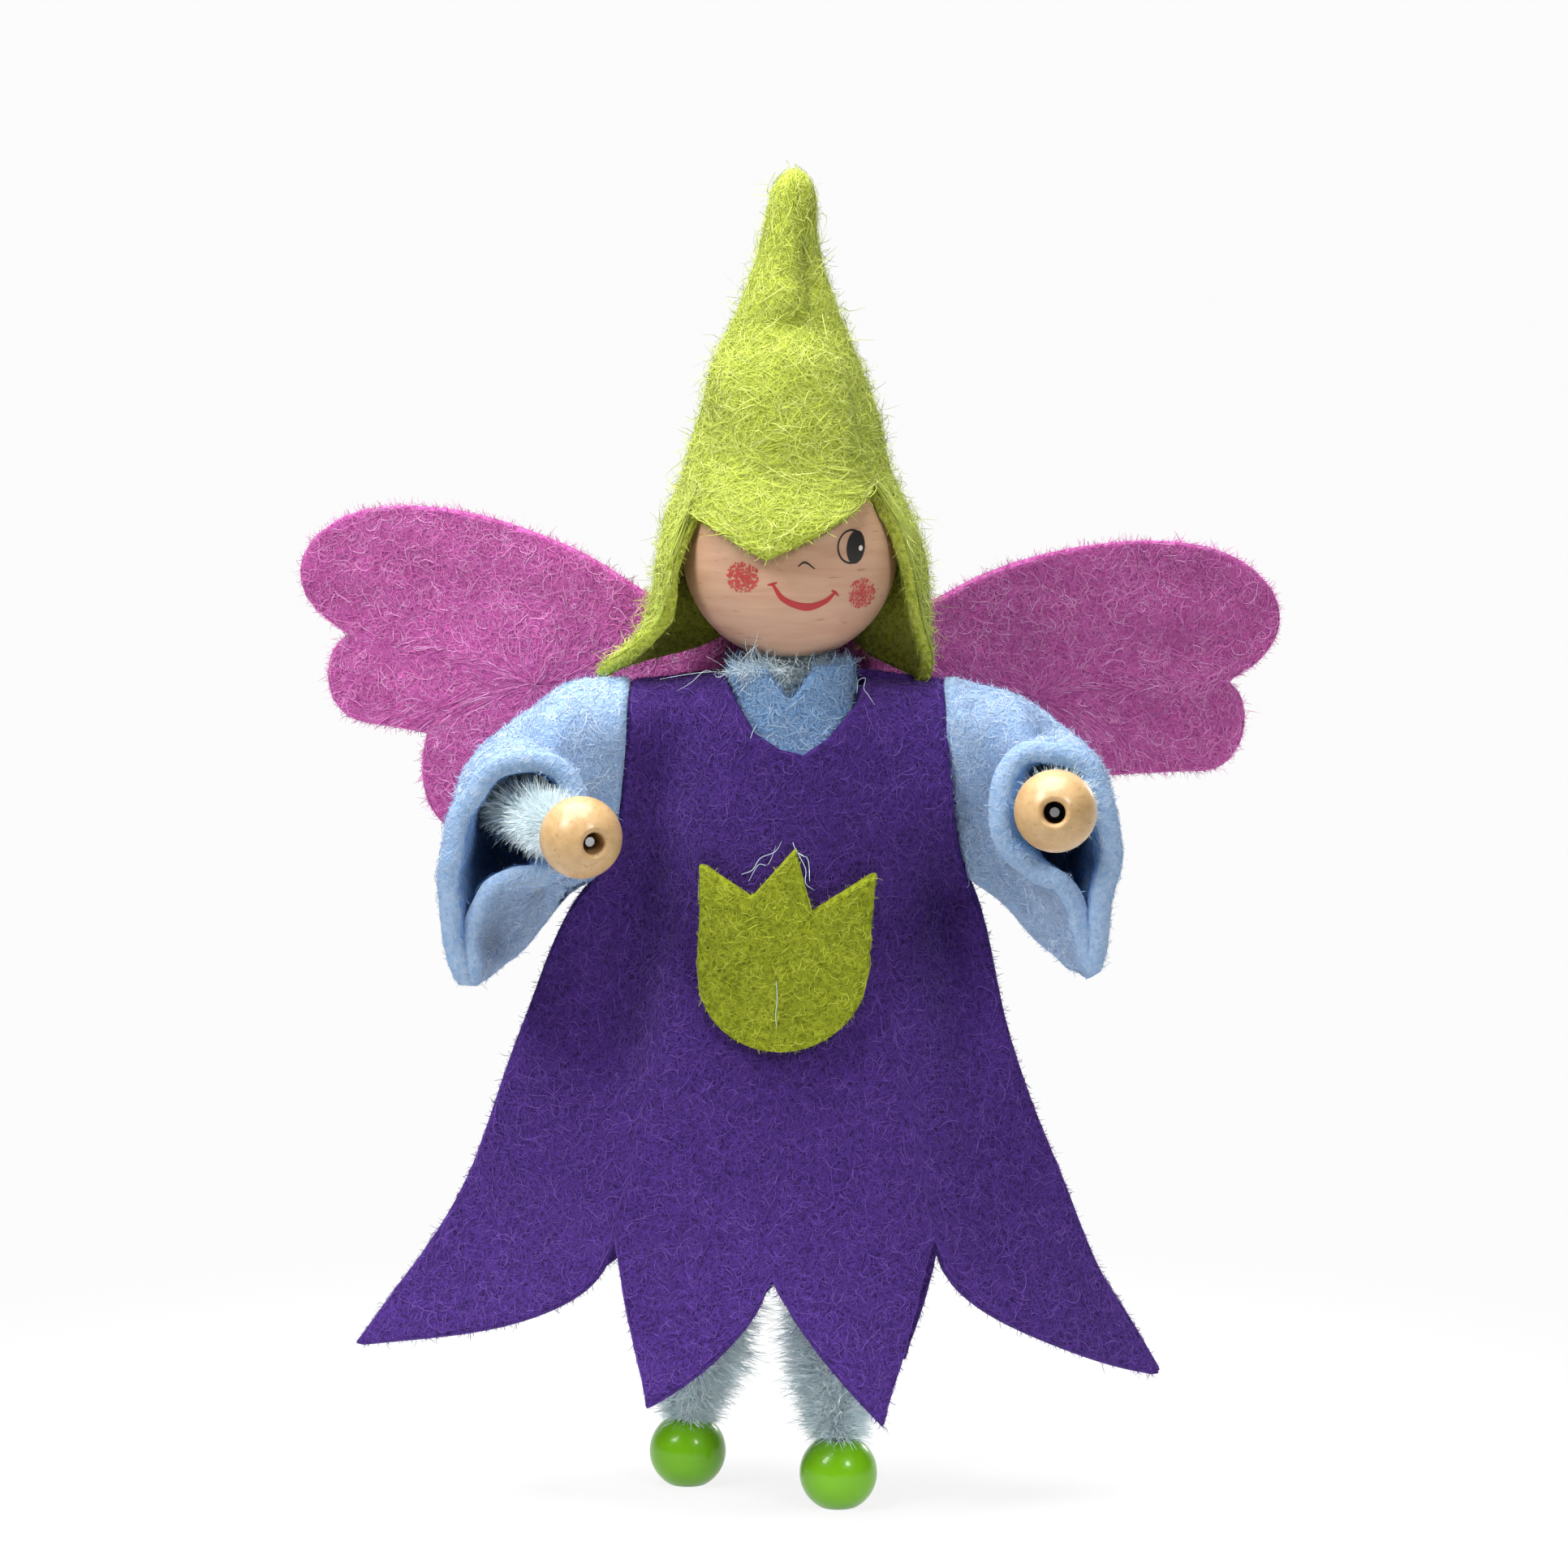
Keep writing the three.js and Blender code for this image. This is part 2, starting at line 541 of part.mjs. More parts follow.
// Wings: one butterfly of felt glued to the dress back by its bridge; each side bends at the bridge's edge
function makeWings() {
  const back = CHEST_DEPTH + FELT + FIT;
  const high = SHOULDER_TOP + WING_ROOT_TOP;
  const low = SHOULDER_TOP + WING_ROOT_LOW;
  const half = WING_HINGE_X - WING_HINGE_GAP;
  const bridge = new THREE.Shape();
  bridge.moveTo(-half, low).lineTo(half, low).lineTo(half, high).lineTo(-half, high);
  const settings = { depth: FELT, curveSegments: 8, bevelEnabled: false };
  const upright = (shape) => {
    const sheet = new THREE.ExtrudeGeometry(shape, settings);
    return sheet.translate(0, 0, -FELT / 2).rotateX(Math.PI / 2);
  };
  add("wing_bridge", outward(upright(bridge).translate(0, back, 0)), felt(PINK_FELT));
  for (const [side, sign] of Object.entries(SIDES)) {
    const base = SHOULDER_TOP - WING_LOWER[side];
    const droop = radians(WING_DROOP[side]);
    const place = ([out, up]) => [
      out * Math.cos(droop) + up * Math.sin(droop),
      base + up * Math.cos(droop) - out * Math.sin(droop),
    ];
    const reach = LOWER_LOBE_REACH[side];
    const start = WING_HINGE_GAP / 2;
    const lower = LOWER_LOBE.map((row) => row.map(([out, up]) => [reach + out, up]));
    const wing = new THREE.Shape().moveTo(start, base + WING_ROOT_LOW).lineTo(start, base + WING_ROOT_TOP);
    for (const row of [...UPPER_LOBE, ...lower]) {
      const handles = row.flatMap(place);
      if (row.length === 2) wing.quadraticCurveTo(...handles);
      else wing.bezierCurveTo(...handles);
    }
    wing.quadraticCurveTo(...place(LOWER_EDGE_HANDLE), start, base + WING_ROOT_LOW);
    const sheet = upright(wing);
    if (sign < 0) sheet.scale(-1, 1, 1);
    sheet.rotateZ(sign * radians(WING_SWEEP)).translate(sign * WING_HINGE_X, back, 0);
    add(`${side}_wing`, outward(sheet), felt(PINK_FELT));
  }
}

// Arms: an upper stem that bends forward, a forearm that turns at the elbow, and a bead for a hand
function aimOf(side, sign, angle) {
  const drop = -FOREARM_DROP[side] / FOREARM_LENGTH;
  return point(-sign * Math.sin(radians(angle)), -Math.cos(radians(angle)), drop).normalize();
}

const elbowOf = (sign) => point(sign * (SHOULDER_X + ARM_SWEEP), -ARM_FORWARD, SHOULDER_Z - ARM_DROP);

function upperArmCurve(side, sign) {
  const root = point(sign * (SHOULDER_X + JOINT_GAP), 0, SHOULDER_Z);
  const ahead = aimOf(side, sign, FOREARM_MIDDLE);
  const end = elbowOf(sign).addScaledVector(ahead, -JOINT_GAP);
  const out = root.clone().add(point(sign * ARM_BEND, 0, 0));
  return new THREE.CubicBezierCurve3(root, out, end.clone().addScaledVector(ahead, -ARM_BEND), end);
}

function makeArm(side, sign) {
  const curve = upperArmCurve(side, sign);
  add(`${side}_upper_arm_stem`, tube(disc(ARM_PILE_R, WIRE_BORE_R), curve, STEM_SIDES), pile());
  add(`${side}_upper_arm_wire`, tube(disc(WIRE_R), curve, WIRE_SIDES), steel());

  const elbow = elbowOf(sign);
  const along = aimOf(side, sign, FOREARM_ANGLE[side]);
  const start = elbow.clone().addScaledVector(along, JOINT_GAP);
  const bare = FOREARM_LENGTH - JOINT_GAP;
  add(`${side}_forearm_stem`, stem(bare, ARM_PILE_R, ELBOW_CONE, ELBOW_CONE), pile(), start, along);
  const handHalf = Math.sqrt(HAND_R ** 2 - LIMB_END_R ** 2);
  add(`${side}_forearm_wire`, rod(bare + FIT + 2 * handHalf - WIRE_RECESS), steel(), start, along);
  const hand = elbow.clone().addScaledVector(along, FOREARM_LENGTH + FIT + handHalf);
  const handBead = bead(HAND_R, LIMB_BORE_R, LIMB_END_R, BEAD_SIDES, BEAD_ARCS);
  add(`${side}_hand_bead`, handBead, finish(BEECH, 0.4), hand, along);
}

// Sleeve: felt folded over the upper arm, with a wide mouth in front that hangs to a point below.
// It runs from a ring round the shoulder through two rings along the bent arm to the mouth's edge.
function makeSleeve(side, sign) {
  const curve = upperArmCurve(side, sign);
  const pointDrop = Math.max(...SLEEVE_MOUTH.map(([, down]) => down));
  const mouthPoint = ([across, down]) => {
    const back = MOUTH_POINT_BACK * Math.max((2 * down) / pointDrop - 1, 0);
    return point(sign * (SHOULDER_X + ARM_SWEEP - across), back - MOUTH_FORWARD, SHOULDER_Z - down);
  };
  const mouth = new THREE.CatmullRomCurve3(SLEEVE_MOUTH.map(mouthPoint), true);
  const pointAt = (turn, t) => {
    const up = Math.cos(2 * Math.PI * turn);
    const front = Math.sin(2 * Math.PI * turn);
    const rings = SLEEVE_RINGS.map(({ along, inner, outer, top, bottom }) => {
      const inward = curve.getTangent(along).cross(point(0, 0, 1)).normalize().multiplyScalar(sign);
      const across = front * (ARM_PILE_R + (front > 0 ? inner : outer));
      const lift = point(0, 0, up * (ARM_PILE_R + (up > 0 ? top : bottom)));
      return curve.getPoint(along).addScaledVector(inward, across).add(lift);
    });
    const rootR = ARM_PILE_R + SLEEVE_ROOT_EASE;
    const root = point(sign * (SHOULDER_X + SLEEVE_START), -front * rootR, SHOULDER_Z + up * rootR);
    return new THREE.CatmullRomCurve3([root, ...rings, mouth.getPoint(turn)]).getPoint(t);
  };
  const sheet = feltSheet(pointAt, evenly(SLEEVE_COLUMNS, true), evenly(SLEEVE_ROWS), true);
  add(`${side}_sleeve`, sheet, felt(BLUE_FELT));
}

// Legs: thigh and shin stems on a wire, and a lacquered bead for a foot, standing on its drilled end
function makeLeg(side, sign) {
  const hip = point(sign * LEG_PILE_R, 0, HIP_Z);
  const foot = point(FOOT_X[side], FOOT_Y[side], FOOT_HEIGHT / 2);
  const ankle = point(FOOT_X[side], FOOT_Y[side], FOOT_HEIGHT + FIT);
  const along = ankle.clone().sub(hip);
  const length = along.length();
  along.normalize();
  const knee = hip.clone().addScaledVector(along, KNEE_SHARE * length);
  const thigh = KNEE_SHARE * length - JOINT_GAP;
  const shin = (1 - KNEE_SHARE) * length - JOINT_GAP;
  const kneeStart = knee.clone().addScaledVector(along, JOINT_GAP);
  const bent = Math.asin(Math.hypot(along.x, along.y));
  const ankleCone = 90 - (bent * 180) / Math.PI;
  add(`${side}_thigh_stem`, stem(thigh, LEG_PILE_R, HIP_CONE, KNEE_CONE), pile(), hip, along);
  add(`${side}_thigh_wire`, rod(thigh), steel(), hip.clone().addScaledVector(along, JOINT_GAP / 2), along);
  add(`${side}_shin_stem`, stem(shin, LEG_PILE_R, KNEE_CONE, ankleCone), pile(), kneeStart, along);
  add(`${side}_shin_wire`, rod(shin + WIRE_IN_FOOT), steel(), kneeStart, along);
  const footBead = bead(FOOT_R, LIMB_BORE_R, LIMB_END_R, BEAD_SIDES, BEAD_ARCS);
  add(`${side}_foot_bead`, footBead, finish(GREEN_LACQUER, 0.15), foot);
}

makeTrunk();
makeHead();
makeHat();
makeBlouse();
makePanel("dress_front", -1, FRONT_NECK, hem);
makePanel("dress_back", 1, BACK_NECK, (u) => hem(u - BACK_HEM_SHIFT * (1 - u * u)));
makeTulip();
makeWings();
for (const [side, sign] of Object.entries(SIDES)) {
  makeArm(side, sign);
  makeSleeve(side, sign);
  makeLeg(side, sign);
}

export default doll;
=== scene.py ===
# %% [markdown]
# # A felt fairy doll
# The doll is a handful of simple things: drilled wooden beads, chenille stems on wire, and craft felt cut
# with scissors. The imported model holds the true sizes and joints. This script dresses it: every felt
# piece becomes a thick soft sheet with real fibres on it, every stem gets its pile, and the beads get
# grain, paint and lacquer.
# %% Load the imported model
import json
import bpy
import numpy as np
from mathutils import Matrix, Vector


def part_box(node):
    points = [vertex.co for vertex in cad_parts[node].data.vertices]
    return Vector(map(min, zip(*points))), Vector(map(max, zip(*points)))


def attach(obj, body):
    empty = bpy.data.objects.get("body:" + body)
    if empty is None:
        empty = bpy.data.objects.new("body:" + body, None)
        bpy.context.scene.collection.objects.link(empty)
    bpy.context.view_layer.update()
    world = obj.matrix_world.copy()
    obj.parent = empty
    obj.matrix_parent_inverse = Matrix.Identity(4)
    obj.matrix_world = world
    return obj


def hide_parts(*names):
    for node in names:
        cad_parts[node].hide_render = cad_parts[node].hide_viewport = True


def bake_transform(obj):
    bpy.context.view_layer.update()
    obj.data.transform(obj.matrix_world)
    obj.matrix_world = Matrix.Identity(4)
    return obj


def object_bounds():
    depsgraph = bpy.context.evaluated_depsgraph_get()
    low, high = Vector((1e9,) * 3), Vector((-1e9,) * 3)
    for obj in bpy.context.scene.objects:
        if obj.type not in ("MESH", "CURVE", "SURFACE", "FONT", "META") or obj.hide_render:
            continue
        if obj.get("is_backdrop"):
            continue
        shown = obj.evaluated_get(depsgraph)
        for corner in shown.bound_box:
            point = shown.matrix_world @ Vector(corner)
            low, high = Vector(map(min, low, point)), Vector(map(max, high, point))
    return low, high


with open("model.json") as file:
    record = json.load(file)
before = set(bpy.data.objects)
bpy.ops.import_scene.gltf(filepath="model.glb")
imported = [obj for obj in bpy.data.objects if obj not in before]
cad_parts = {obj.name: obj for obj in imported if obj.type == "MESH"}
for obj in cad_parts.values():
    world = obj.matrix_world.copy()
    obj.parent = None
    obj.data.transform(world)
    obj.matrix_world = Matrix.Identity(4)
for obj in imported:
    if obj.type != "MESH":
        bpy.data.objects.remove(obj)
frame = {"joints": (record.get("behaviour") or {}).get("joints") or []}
cad_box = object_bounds()
MM = 0.001
rng = np.random.default_rng(20)

# %% [markdown]
# ## Places that the model gives
# All shaping below is in millimetres, in the model's own frame: the doll faces -Y and stands on z = 0.
# Joints and beads are read from the model, so that each soft piece sits on what carries it.
# %% Read joints and beads
def unit(vectors):
    return vectors / np.maximum(np.linalg.norm(vectors, axis=-1, keepdims=True), 1e-9)


def joint_at(name):
    return np.array(next(j["pos_m"] for j in frame["joints"] if j["name"] == name)) / MM


def box_of(node):
    low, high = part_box(node)
    return np.array(low) / MM, np.array(high) / MM


def middle_of(node):
    return sum(box_of(node)) / 2


SIDES = {"right": -1, "left": 1}
HEAD = middle_of("head_bead")
HEAD_R = np.ptp(box_of("head_bead"), axis=0)[0] / 2
SHOULDER = joint_at("left_shoulder_swing")
NECK = joint_at("neck_nod")
SHOULDER_TOP = 85.9
WING_BACK = joint_at("left_wing_flap")[1]
WING_HINGE_X = joint_at("left_wing_flap")[0]
print("head", HEAD.round(2), "radius", HEAD_R.round(2), "shoulder", SHOULDER)

# %% [markdown]
# ## Camera, light and floor
# The photograph was taken from straight ahead and a little above, with a long lens. The highlights on the
# round feet and hands tell where its light was: a large panel overhead, a softbox at the front left, a
# weaker one at the front right and a small lamp behind. Together they give pale sleeve tops and deep
# shade under the arms. The paper could be lit to white; it is white to the camera alone instead, so that
# it throws no extra light on the doll.
# %% Camera
AIM = np.array([0, 0, 74.3])
CAMERA_DISTANCE = 550
CAMERA_ELEVATION = np.radians(6)
FOCAL_PIXELS = 6600
FRAME_PIXELS = 1932
SENSOR = 36
NEAR_CLIP = 10


def aimed(thing, place, target):
    thing.location = Vector(place) * MM
    thing.rotation_euler = (Vector(place) - Vector(target)).to_track_quat("Z", "Y").to_euler()
    bpy.context.scene.collection.objects.link(thing)


camera_data = bpy.data.cameras.new("camera")
camera_data.sensor_width = SENSOR
camera_data.lens = SENSOR * FOCAL_PIXELS / FRAME_PIXELS
camera_data.clip_start = NEAR_CLIP * MM
camera = bpy.data.objects.new("camera", camera_data)
away = np.array([0, -np.cos(CAMERA_ELEVATION), np.sin(CAMERA_ELEVATION)])
aimed(camera, AIM + CAMERA_DISTANCE * away, AIM)
bpy.context.scene.camera = camera
print("camera at", [round(v, 4) for v in camera.location])


# %% Helpers for colours and materials
def linear(hex_colour):
    parts = [int(hex_colour[i:i + 2], 16) / 255 for i in (1, 3, 5)]
    return (*[p / 12.92 if p <= 0.04045 else ((p + 0.055) / 1.055) ** 2.4 for p in parts], 1.0)


def add_node(tree, kind, inputs=None, **settings):
    """Adds a node, sets its properties, and fills its sockets with values or links."""
    made = tree.nodes.new(kind)
    for name, value in settings.items():
        setattr(made, name, value)
    for socket, value in (inputs or {}).items():
        if isinstance(value, bpy.types.NodeSocket):
            tree.links.new(value, made.inputs[socket])
        else:
            made.inputs[socket].default_value = value
    return made


def new_material(name):
    material = bpy.data.materials.new(name)
    material.use_nodes = True
    material.node_tree.nodes.clear()
    return material, material.node_tree


def finished(material, shader):
    add_node(material.node_tree, "ShaderNodeOutputMaterial", {"Surface": shader.outputs[0]})
    return material


# %% Lamps
bpy.context.scene.view_settings.view_transform = "Standard"
LAMP_DISTANCE = 800
LAMPS = {
    "overhead_softbox": dict(way=(-0.15, 0.02, 0.988), size=800, power=15.5),
    "left_softbox": dict(way=(-0.64, -0.42, 0.64), size=300, power=4.4),
    "right_softbox": dict(way=(0.47, -0.71, 0.52), size=170, power=2.2),
    "rear_lamp": dict(way=(0.51, 0.84, 0.21), size=150, power=0.8),
}
for name, lamp in LAMPS.items():
    data = bpy.data.lights.new(name, "AREA")
    data.energy = lamp["power"]
    data.size = lamp["size"] * MM
    aimed(bpy.data.objects.new(name, data), AIM + LAMP_DISTANCE * np.array(lamp["way"]), AIM)

WORLD_LIGHT = 0.06
world = bpy.data.worlds.new("studio")
bpy.context.scene.world = world
world.use_nodes = True
surround = world.node_tree.nodes["Background"]
surround.inputs["Color"].default_value = (1, 1, 1, 1)
surround.inputs["Strength"].default_value = WORLD_LIGHT
print("lamps", len(LAMPS), "and a faint white world")

# %% A plain pale sweep
FLOOR_WHITE = "#f4f4f3"
SWEEP_GREY = "#505050"
CARD_NEAR = 45
CARD_FAR = 180
CARD_GLOW = 0.86
SWEEP_GLOW = 0.97
SWEEP_WIDTH = 6000
SWEEP_FRONT = 2500
SWEEP_BACK = 1400
SWEEP_R = 900
SWEEP_HEIGHT = 3000


def paper_sweep():
    """White card under the doll on a sweep that throws little light back; both look white to the camera."""
    material, tree = new_material("matt white paper sweep")
    spot = add_node(tree, "ShaderNodeTexCoord").outputs["Object"]
    off = add_node(tree, "ShaderNodeVectorMath", {0: spot}, operation="LENGTH").outputs["Value"]
    reach = {"Value": off, "From Min": CARD_NEAR * MM, "From Max": CARD_FAR * MM}
    far = add_node(tree, "ShaderNodeMapRange", reach, interpolation_type="SMOOTHSTEP").outputs[0]
    tones = {0: far, 6: linear(FLOOR_WHITE), 7: linear(SWEEP_GREY)}
    tone = add_node(tree, "ShaderNodeMix", tones, data_type="RGBA").outputs[2]
    paper = add_node(tree, "ShaderNodeBsdfDiffuse", {"Color": tone})
    glow = add_node(tree, "ShaderNodeEmission", {"Color": (1, 1, 1, 1), "Strength": 1.0})
    rays = add_node(tree, "ShaderNodeLightPath")
    seen = rays.outputs["Is Camera Ray"]
    for kind in ("Is Glossy Ray", "Is Transmission Ray"):
        either = {0: seen, 1: rays.outputs[kind]}
        seen = add_node(tree, "ShaderNodeMath", either, operation="MAXIMUM").outputs[0]
    white = add_node(tree, "ShaderNodeMapRange", {"Value": far, "To Min": CARD_GLOW, "To Max": SWEEP_GLOW})
    both = {0: seen, 1: white.outputs[0]}
    share = add_node(tree, "ShaderNodeMath", both, operation="MULTIPLY").outputs[0]
    mix = add_node(tree, "ShaderNodeMixShader", {0: share, 1: paper.outputs[0], 2: glow.outputs[0]})
    return finished(material, mix)


turn = np.radians(np.linspace(0, 90, 25))
profile = [(-SWEEP_FRONT, 0)]
profile += [(SWEEP_BACK + SWEEP_R * np.sin(a), SWEEP_R * (1 - np.cos(a))) for a in turn]
profile += [(SWEEP_BACK + SWEEP_R, SWEEP_HEIGHT)]
corners = [(x, y, z) for y, z in profile for x in (-SWEEP_WIDTH / 2, SWEEP_WIDTH / 2)]
panels = [(2 * i, 2 * i + 1, 2 * i + 3, 2 * i + 2) for i in range(len(profile) - 1)]
sweep_mesh = bpy.data.meshes.new("sweep")
sweep_mesh.from_pydata((np.array(corners) * MM).tolist(), [], panels)
sweep_mesh.shade_smooth()
sweep = bpy.data.objects.new("sweep", sweep_mesh)
bpy.context.scene.collection.objects.link(sweep)
sweep_mesh.materials.append(paper_sweep())
sweep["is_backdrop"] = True
print("sweep panels", len(panels))

# %% [markdown]
# ## What felt is
# Craft felt is wool or viscose fibre, needled and pressed into a mat a little over a millimetre thick.
# The eye reads it by three things: a mottled ground of pits and clumps, single curly fibres that lie on
# it, and a fringe of loose ends along every cut edge and outline. The ground is a procedural material;
# the fibres and the fringe are real thin strips, because only geometry gives a soft outline.
# %% Felt ground material
# Sizes on real felt: clumps of fibre, the web of fibres that lie on top, and the pits between them.
CLUMP_MM = 2.4
WEB_MM = 0.75
WEB_DRIFT = 0.9
WEB_LINE = 0.13
WEB_SHARE = 0.55
PIT_MM = 0.55
FELT_RELIEF = 0.12


def needled_felt(name, ground, painted_pit_shade, fibre):
    """Pressed wool felt: very rough, softly sheened, with painted shade in its pits, paler where a fibre lies
    on top.
    """
    material, tree = new_material(name)
    spot = add_node(tree, "ShaderNodeTexCoord").outputs["Object"]
    drift = add_node(tree, "ShaderNodeTexNoise", {"Vector": spot, "Scale": 1 / (WEB_MM * MM), "Detail": 2.0})
    drifted = {0: drift.outputs["Color"], 3: WEB_DRIFT * WEB_MM * MM}
    shift = add_node(tree, "ShaderNodeVectorMath", drifted, operation="SCALE")
    bent = add_node(tree, "ShaderNodeVectorMath", {0: spot, 1: shift.outputs[0]}, operation="ADD")
    web = {"Vector": bent.outputs[0], "Scale": 1 / (WEB_MM * MM)}
    edge = add_node(tree, "ShaderNodeTexVoronoi", web, feature="DISTANCE_TO_EDGE")
    line = add_node(tree, "ShaderNodeMapRange", {
        "Value": edge.outputs["Distance"], "From Max": WEB_LINE, "To Min": 1.0, "To Max": 0.0}).outputs[0]
    pits = add_node(tree, "ShaderNodeTexNoise", {
        "Vector": spot, "Scale": 1 / (PIT_MM * MM), "Detail": 3.0, "Roughness": 0.6})
    depth = add_node(tree, "ShaderNodeMapRange", {
        "Value": pits.outputs["Fac"], "From Min": 0.36, "From Max": 0.6}).outputs[0]
    clumps = add_node(tree, "ShaderNodeTexNoise", {
        "Vector": spot, "Scale": 1 / (CLUMP_MM * MM), "Detail": 2.0})
    patch = add_node(tree, "ShaderNodeMapRange", {
        "Value": clumps.outputs["Fac"], "From Min": 0.3, "From Max": 0.7}).outputs[0]
    shine = add_node(tree, "ShaderNodeMath", {0: line, 1: patch}, operation="MULTIPLY").outputs[0]
    share = add_node(tree, "ShaderNodeMath", {0: shine, 1: WEB_SHARE}, operation="MULTIPLY").outputs[0]
    # Painted shade: the pits, lowest in the relief, take the darker pit tone.
    dark = add_node(tree, "ShaderNodeMix", {0: depth, 6: linear(painted_pit_shade), 7: linear(ground)}, data_type="RGBA")
    tones = {0: share, 6: dark.outputs[2], 7: linear(fibre)}
    colour = add_node(tree, "ShaderNodeMix", tones, data_type="RGBA").outputs[2]
    height = add_node(tree, "ShaderNodeMath", {0: line, 1: depth}, operation="ADD").outputs[0]
    relief = {"Height": height, "Strength": 0.55, "Distance": FELT_RELIEF * MM}
    bump = add_node(tree, "ShaderNodeBump", relief).outputs[0]
    return finished(material, add_node(tree, "ShaderNodeBsdfPrincipled", {
        "Base Color": colour, "Normal": bump, "Roughness": 0.95, "Specular IOR Level": 0.15,
        "Sheen Weight": 0.25, "Sheen Roughness": 0.5, "Sheen Tint": linear(fibre)}))


def loose_fibres(name, tones):
    """Fibres lifted off the mat: the same dye in a few tones, matt, with a little sheen along their sides."""
    made = []
    for number, tone in enumerate(tones, 1):
        material, tree = new_material(f"{name} {number}")
        made.append(finished(material, add_node(tree, "ShaderNodeBsdfPrincipled", {
            "Base Color": linear(tone), "Roughness": 0.85, "Specular IOR Level": 0.2,
            "Sheen Weight": 0.2, "Sheen Roughness": 0.5})))
    return made


# %% Dyes of the doll's felts, with painted shade in the pits, the collar and the sleeve linings
# Each pit tone is darker than its ground: painted shade in the pits of the mat.
DYES = {
    "purple": dict(ground="#4a2c7d", painted_pit_shade="#2a1a4b", fibre="#5f3c98", loose=("#4a2c7d", "#563590", "#6a489f")),
    # The blue's lining tones are a deeper blue than its face: painted shade inside the sleeves, where light
    # bounces between blue walls.
    "blue": dict(ground="#a0b9d9", painted_pit_shade="#85a7d1", fibre="#c5d4e8", loose=("#a2bbdb", "#b8cbe2", "#d4e0ee"),
                 lining=("#5f9ae2", "#78adea", "#8fbdf0")),
    # The collar is the blue felt darkened: painted shade where the head hangs over it.
    "collar": dict(ground="#88b0da", painted_pit_shade="#608dc0", fibre="#b6d1eb", loose=("#8ab1db", "#a6c5e5", "#c6dbf0"),
                   slot="blue"),
    "lime": dict(ground="#c3d14f", painted_pit_shade="#939f2a", fibre="#e2ea8c", loose=("#c4d252", "#d1dc68", "#e1e98a")),
    "tulip": dict(ground="#98a425", painted_pit_shade="#616b12", fibre="#bcc63c", loose=("#8b961d", "#a8b32e", "#c3cc48")),
    "pink": dict(ground="#cb63af", painted_pit_shade="#a04287", fibre="#e095cd", loose=("#ca60ae", "#d87cc1", "#e8a8d9")),
}
FELTS = {}
for dye, tones in DYES.items():
    FELTS[dye] = dict(
        ground=needled_felt(f"needled {dye} felt", tones["ground"], tones["painted_pit_shade"], tones["fibre"]),
        loose=loose_fibres(f"loose {dye} fibre", tones["loose"]),
        # Inner fibres take a dye's lining tones where it has them; the blue's are painted shade.
        lining=loose_fibres(f"inner {dye} fibre", tones.get("lining", tones["loose"])),
    )
print("felts", sorted(FELTS))

# %% [markdown]
# ## Making a sheet
# A felt piece is described by the middle of its thickness, a grid of points. The sheet gets an outer and
# an inner face along its normals, and rims that are rounded, because scissors leave a soft edge in felt.
# Slow waves keep any face from being perfectly even. A plane with a thickness modifier could give the
# same body; a grid is kept because fibres are then laid on it by column and row.
# %% Sheets
FELT = 1.3


class Sheet:
    """The middle of a felt piece, columns by rows, open or closed to a ring, with its outer side."""

    def __init__(self, middle, closed=False, outside=1, thickness=FELT):
        self.middle, self.closed, self.half = middle, closed, thickness / 2
        ring = (np.roll(middle, -1, 0) - np.roll(middle, 1, 0)) / 2
        self.across = ring if closed else np.gradient(middle, axis=0)
        self.down = np.gradient(middle, axis=1)
        self.normal = outside * unit(np.cross(self.across, self.down))

    def face(self, side):
        return self.middle + side * self.half * self.normal

    def cells(self):
        grid = np.concatenate([self.middle, self.middle[:1]]) if self.closed else self.middle
        a, b = grid[1:, 1:] - grid[:-1, :-1], grid[1:, :-1] - grid[:-1, 1:]
        return np.linalg.norm(np.cross(a, b), axis=-1) / 2

    def flat(self):
        """Width, length and area of the cut, in metres."""
        width = np.linalg.norm(np.cross(self.across, unit(self.down)), axis=-1).sum(0).max()
        length = np.linalg.norm(np.diff(self.middle, axis=1), axis=-1).sum(1).max()
        return width * MM, length * MM, self.cells().sum() * MM * MM


# %% Meshes
def mesh_object(name, points, quads, materials, tones=None):
    mesh = bpy.data.meshes.new(name)
    mesh.vertices.add(len(points))
    mesh.vertices.foreach_set("co", (points * MM).astype(np.float32).ravel())
    sides = quads.shape[1]
    mesh.loops.add(quads.size)
    mesh.loops.foreach_set("vertex_index", quads.astype(np.int32).ravel())
    mesh.polygons.add(len(quads))
    mesh.polygons.foreach_set("loop_start", np.arange(0, quads.size, sides, dtype=np.int32))
    for material in materials:
        mesh.materials.append(material)
    if tones is not None:
        mesh.polygons.foreach_set("material_index", tones.astype(np.int32))
    mesh.update(calc_edges=True)
    mesh.shade_smooth()
    made = bpy.data.objects.new(name, mesh)
    bpy.context.scene.collection.objects.link(made)
    return made


def grid_quads(columns, rows, ring_columns, ring_rows):
    i = np.arange(columns if ring_columns else columns - 1)[:, None]
    j = np.arange(rows if ring_rows else rows - 1)[None, :]
    i2, j2 = (i + 1) % columns, (j + 1) % rows
    return np.stack([i * rows + j, i2 * rows + j, i2 * rows + j2, i * rows + j2], -1).reshape(-1, 4)


def outward(points, quads):
    a, b, c, d = (points[quads[:, k]] for k in range(4))
    volume = (a * np.cross(b, c)).sum() + (a * np.cross(c, d)).sum()
    return quads if volume > 0 else quads[:, ::-1]


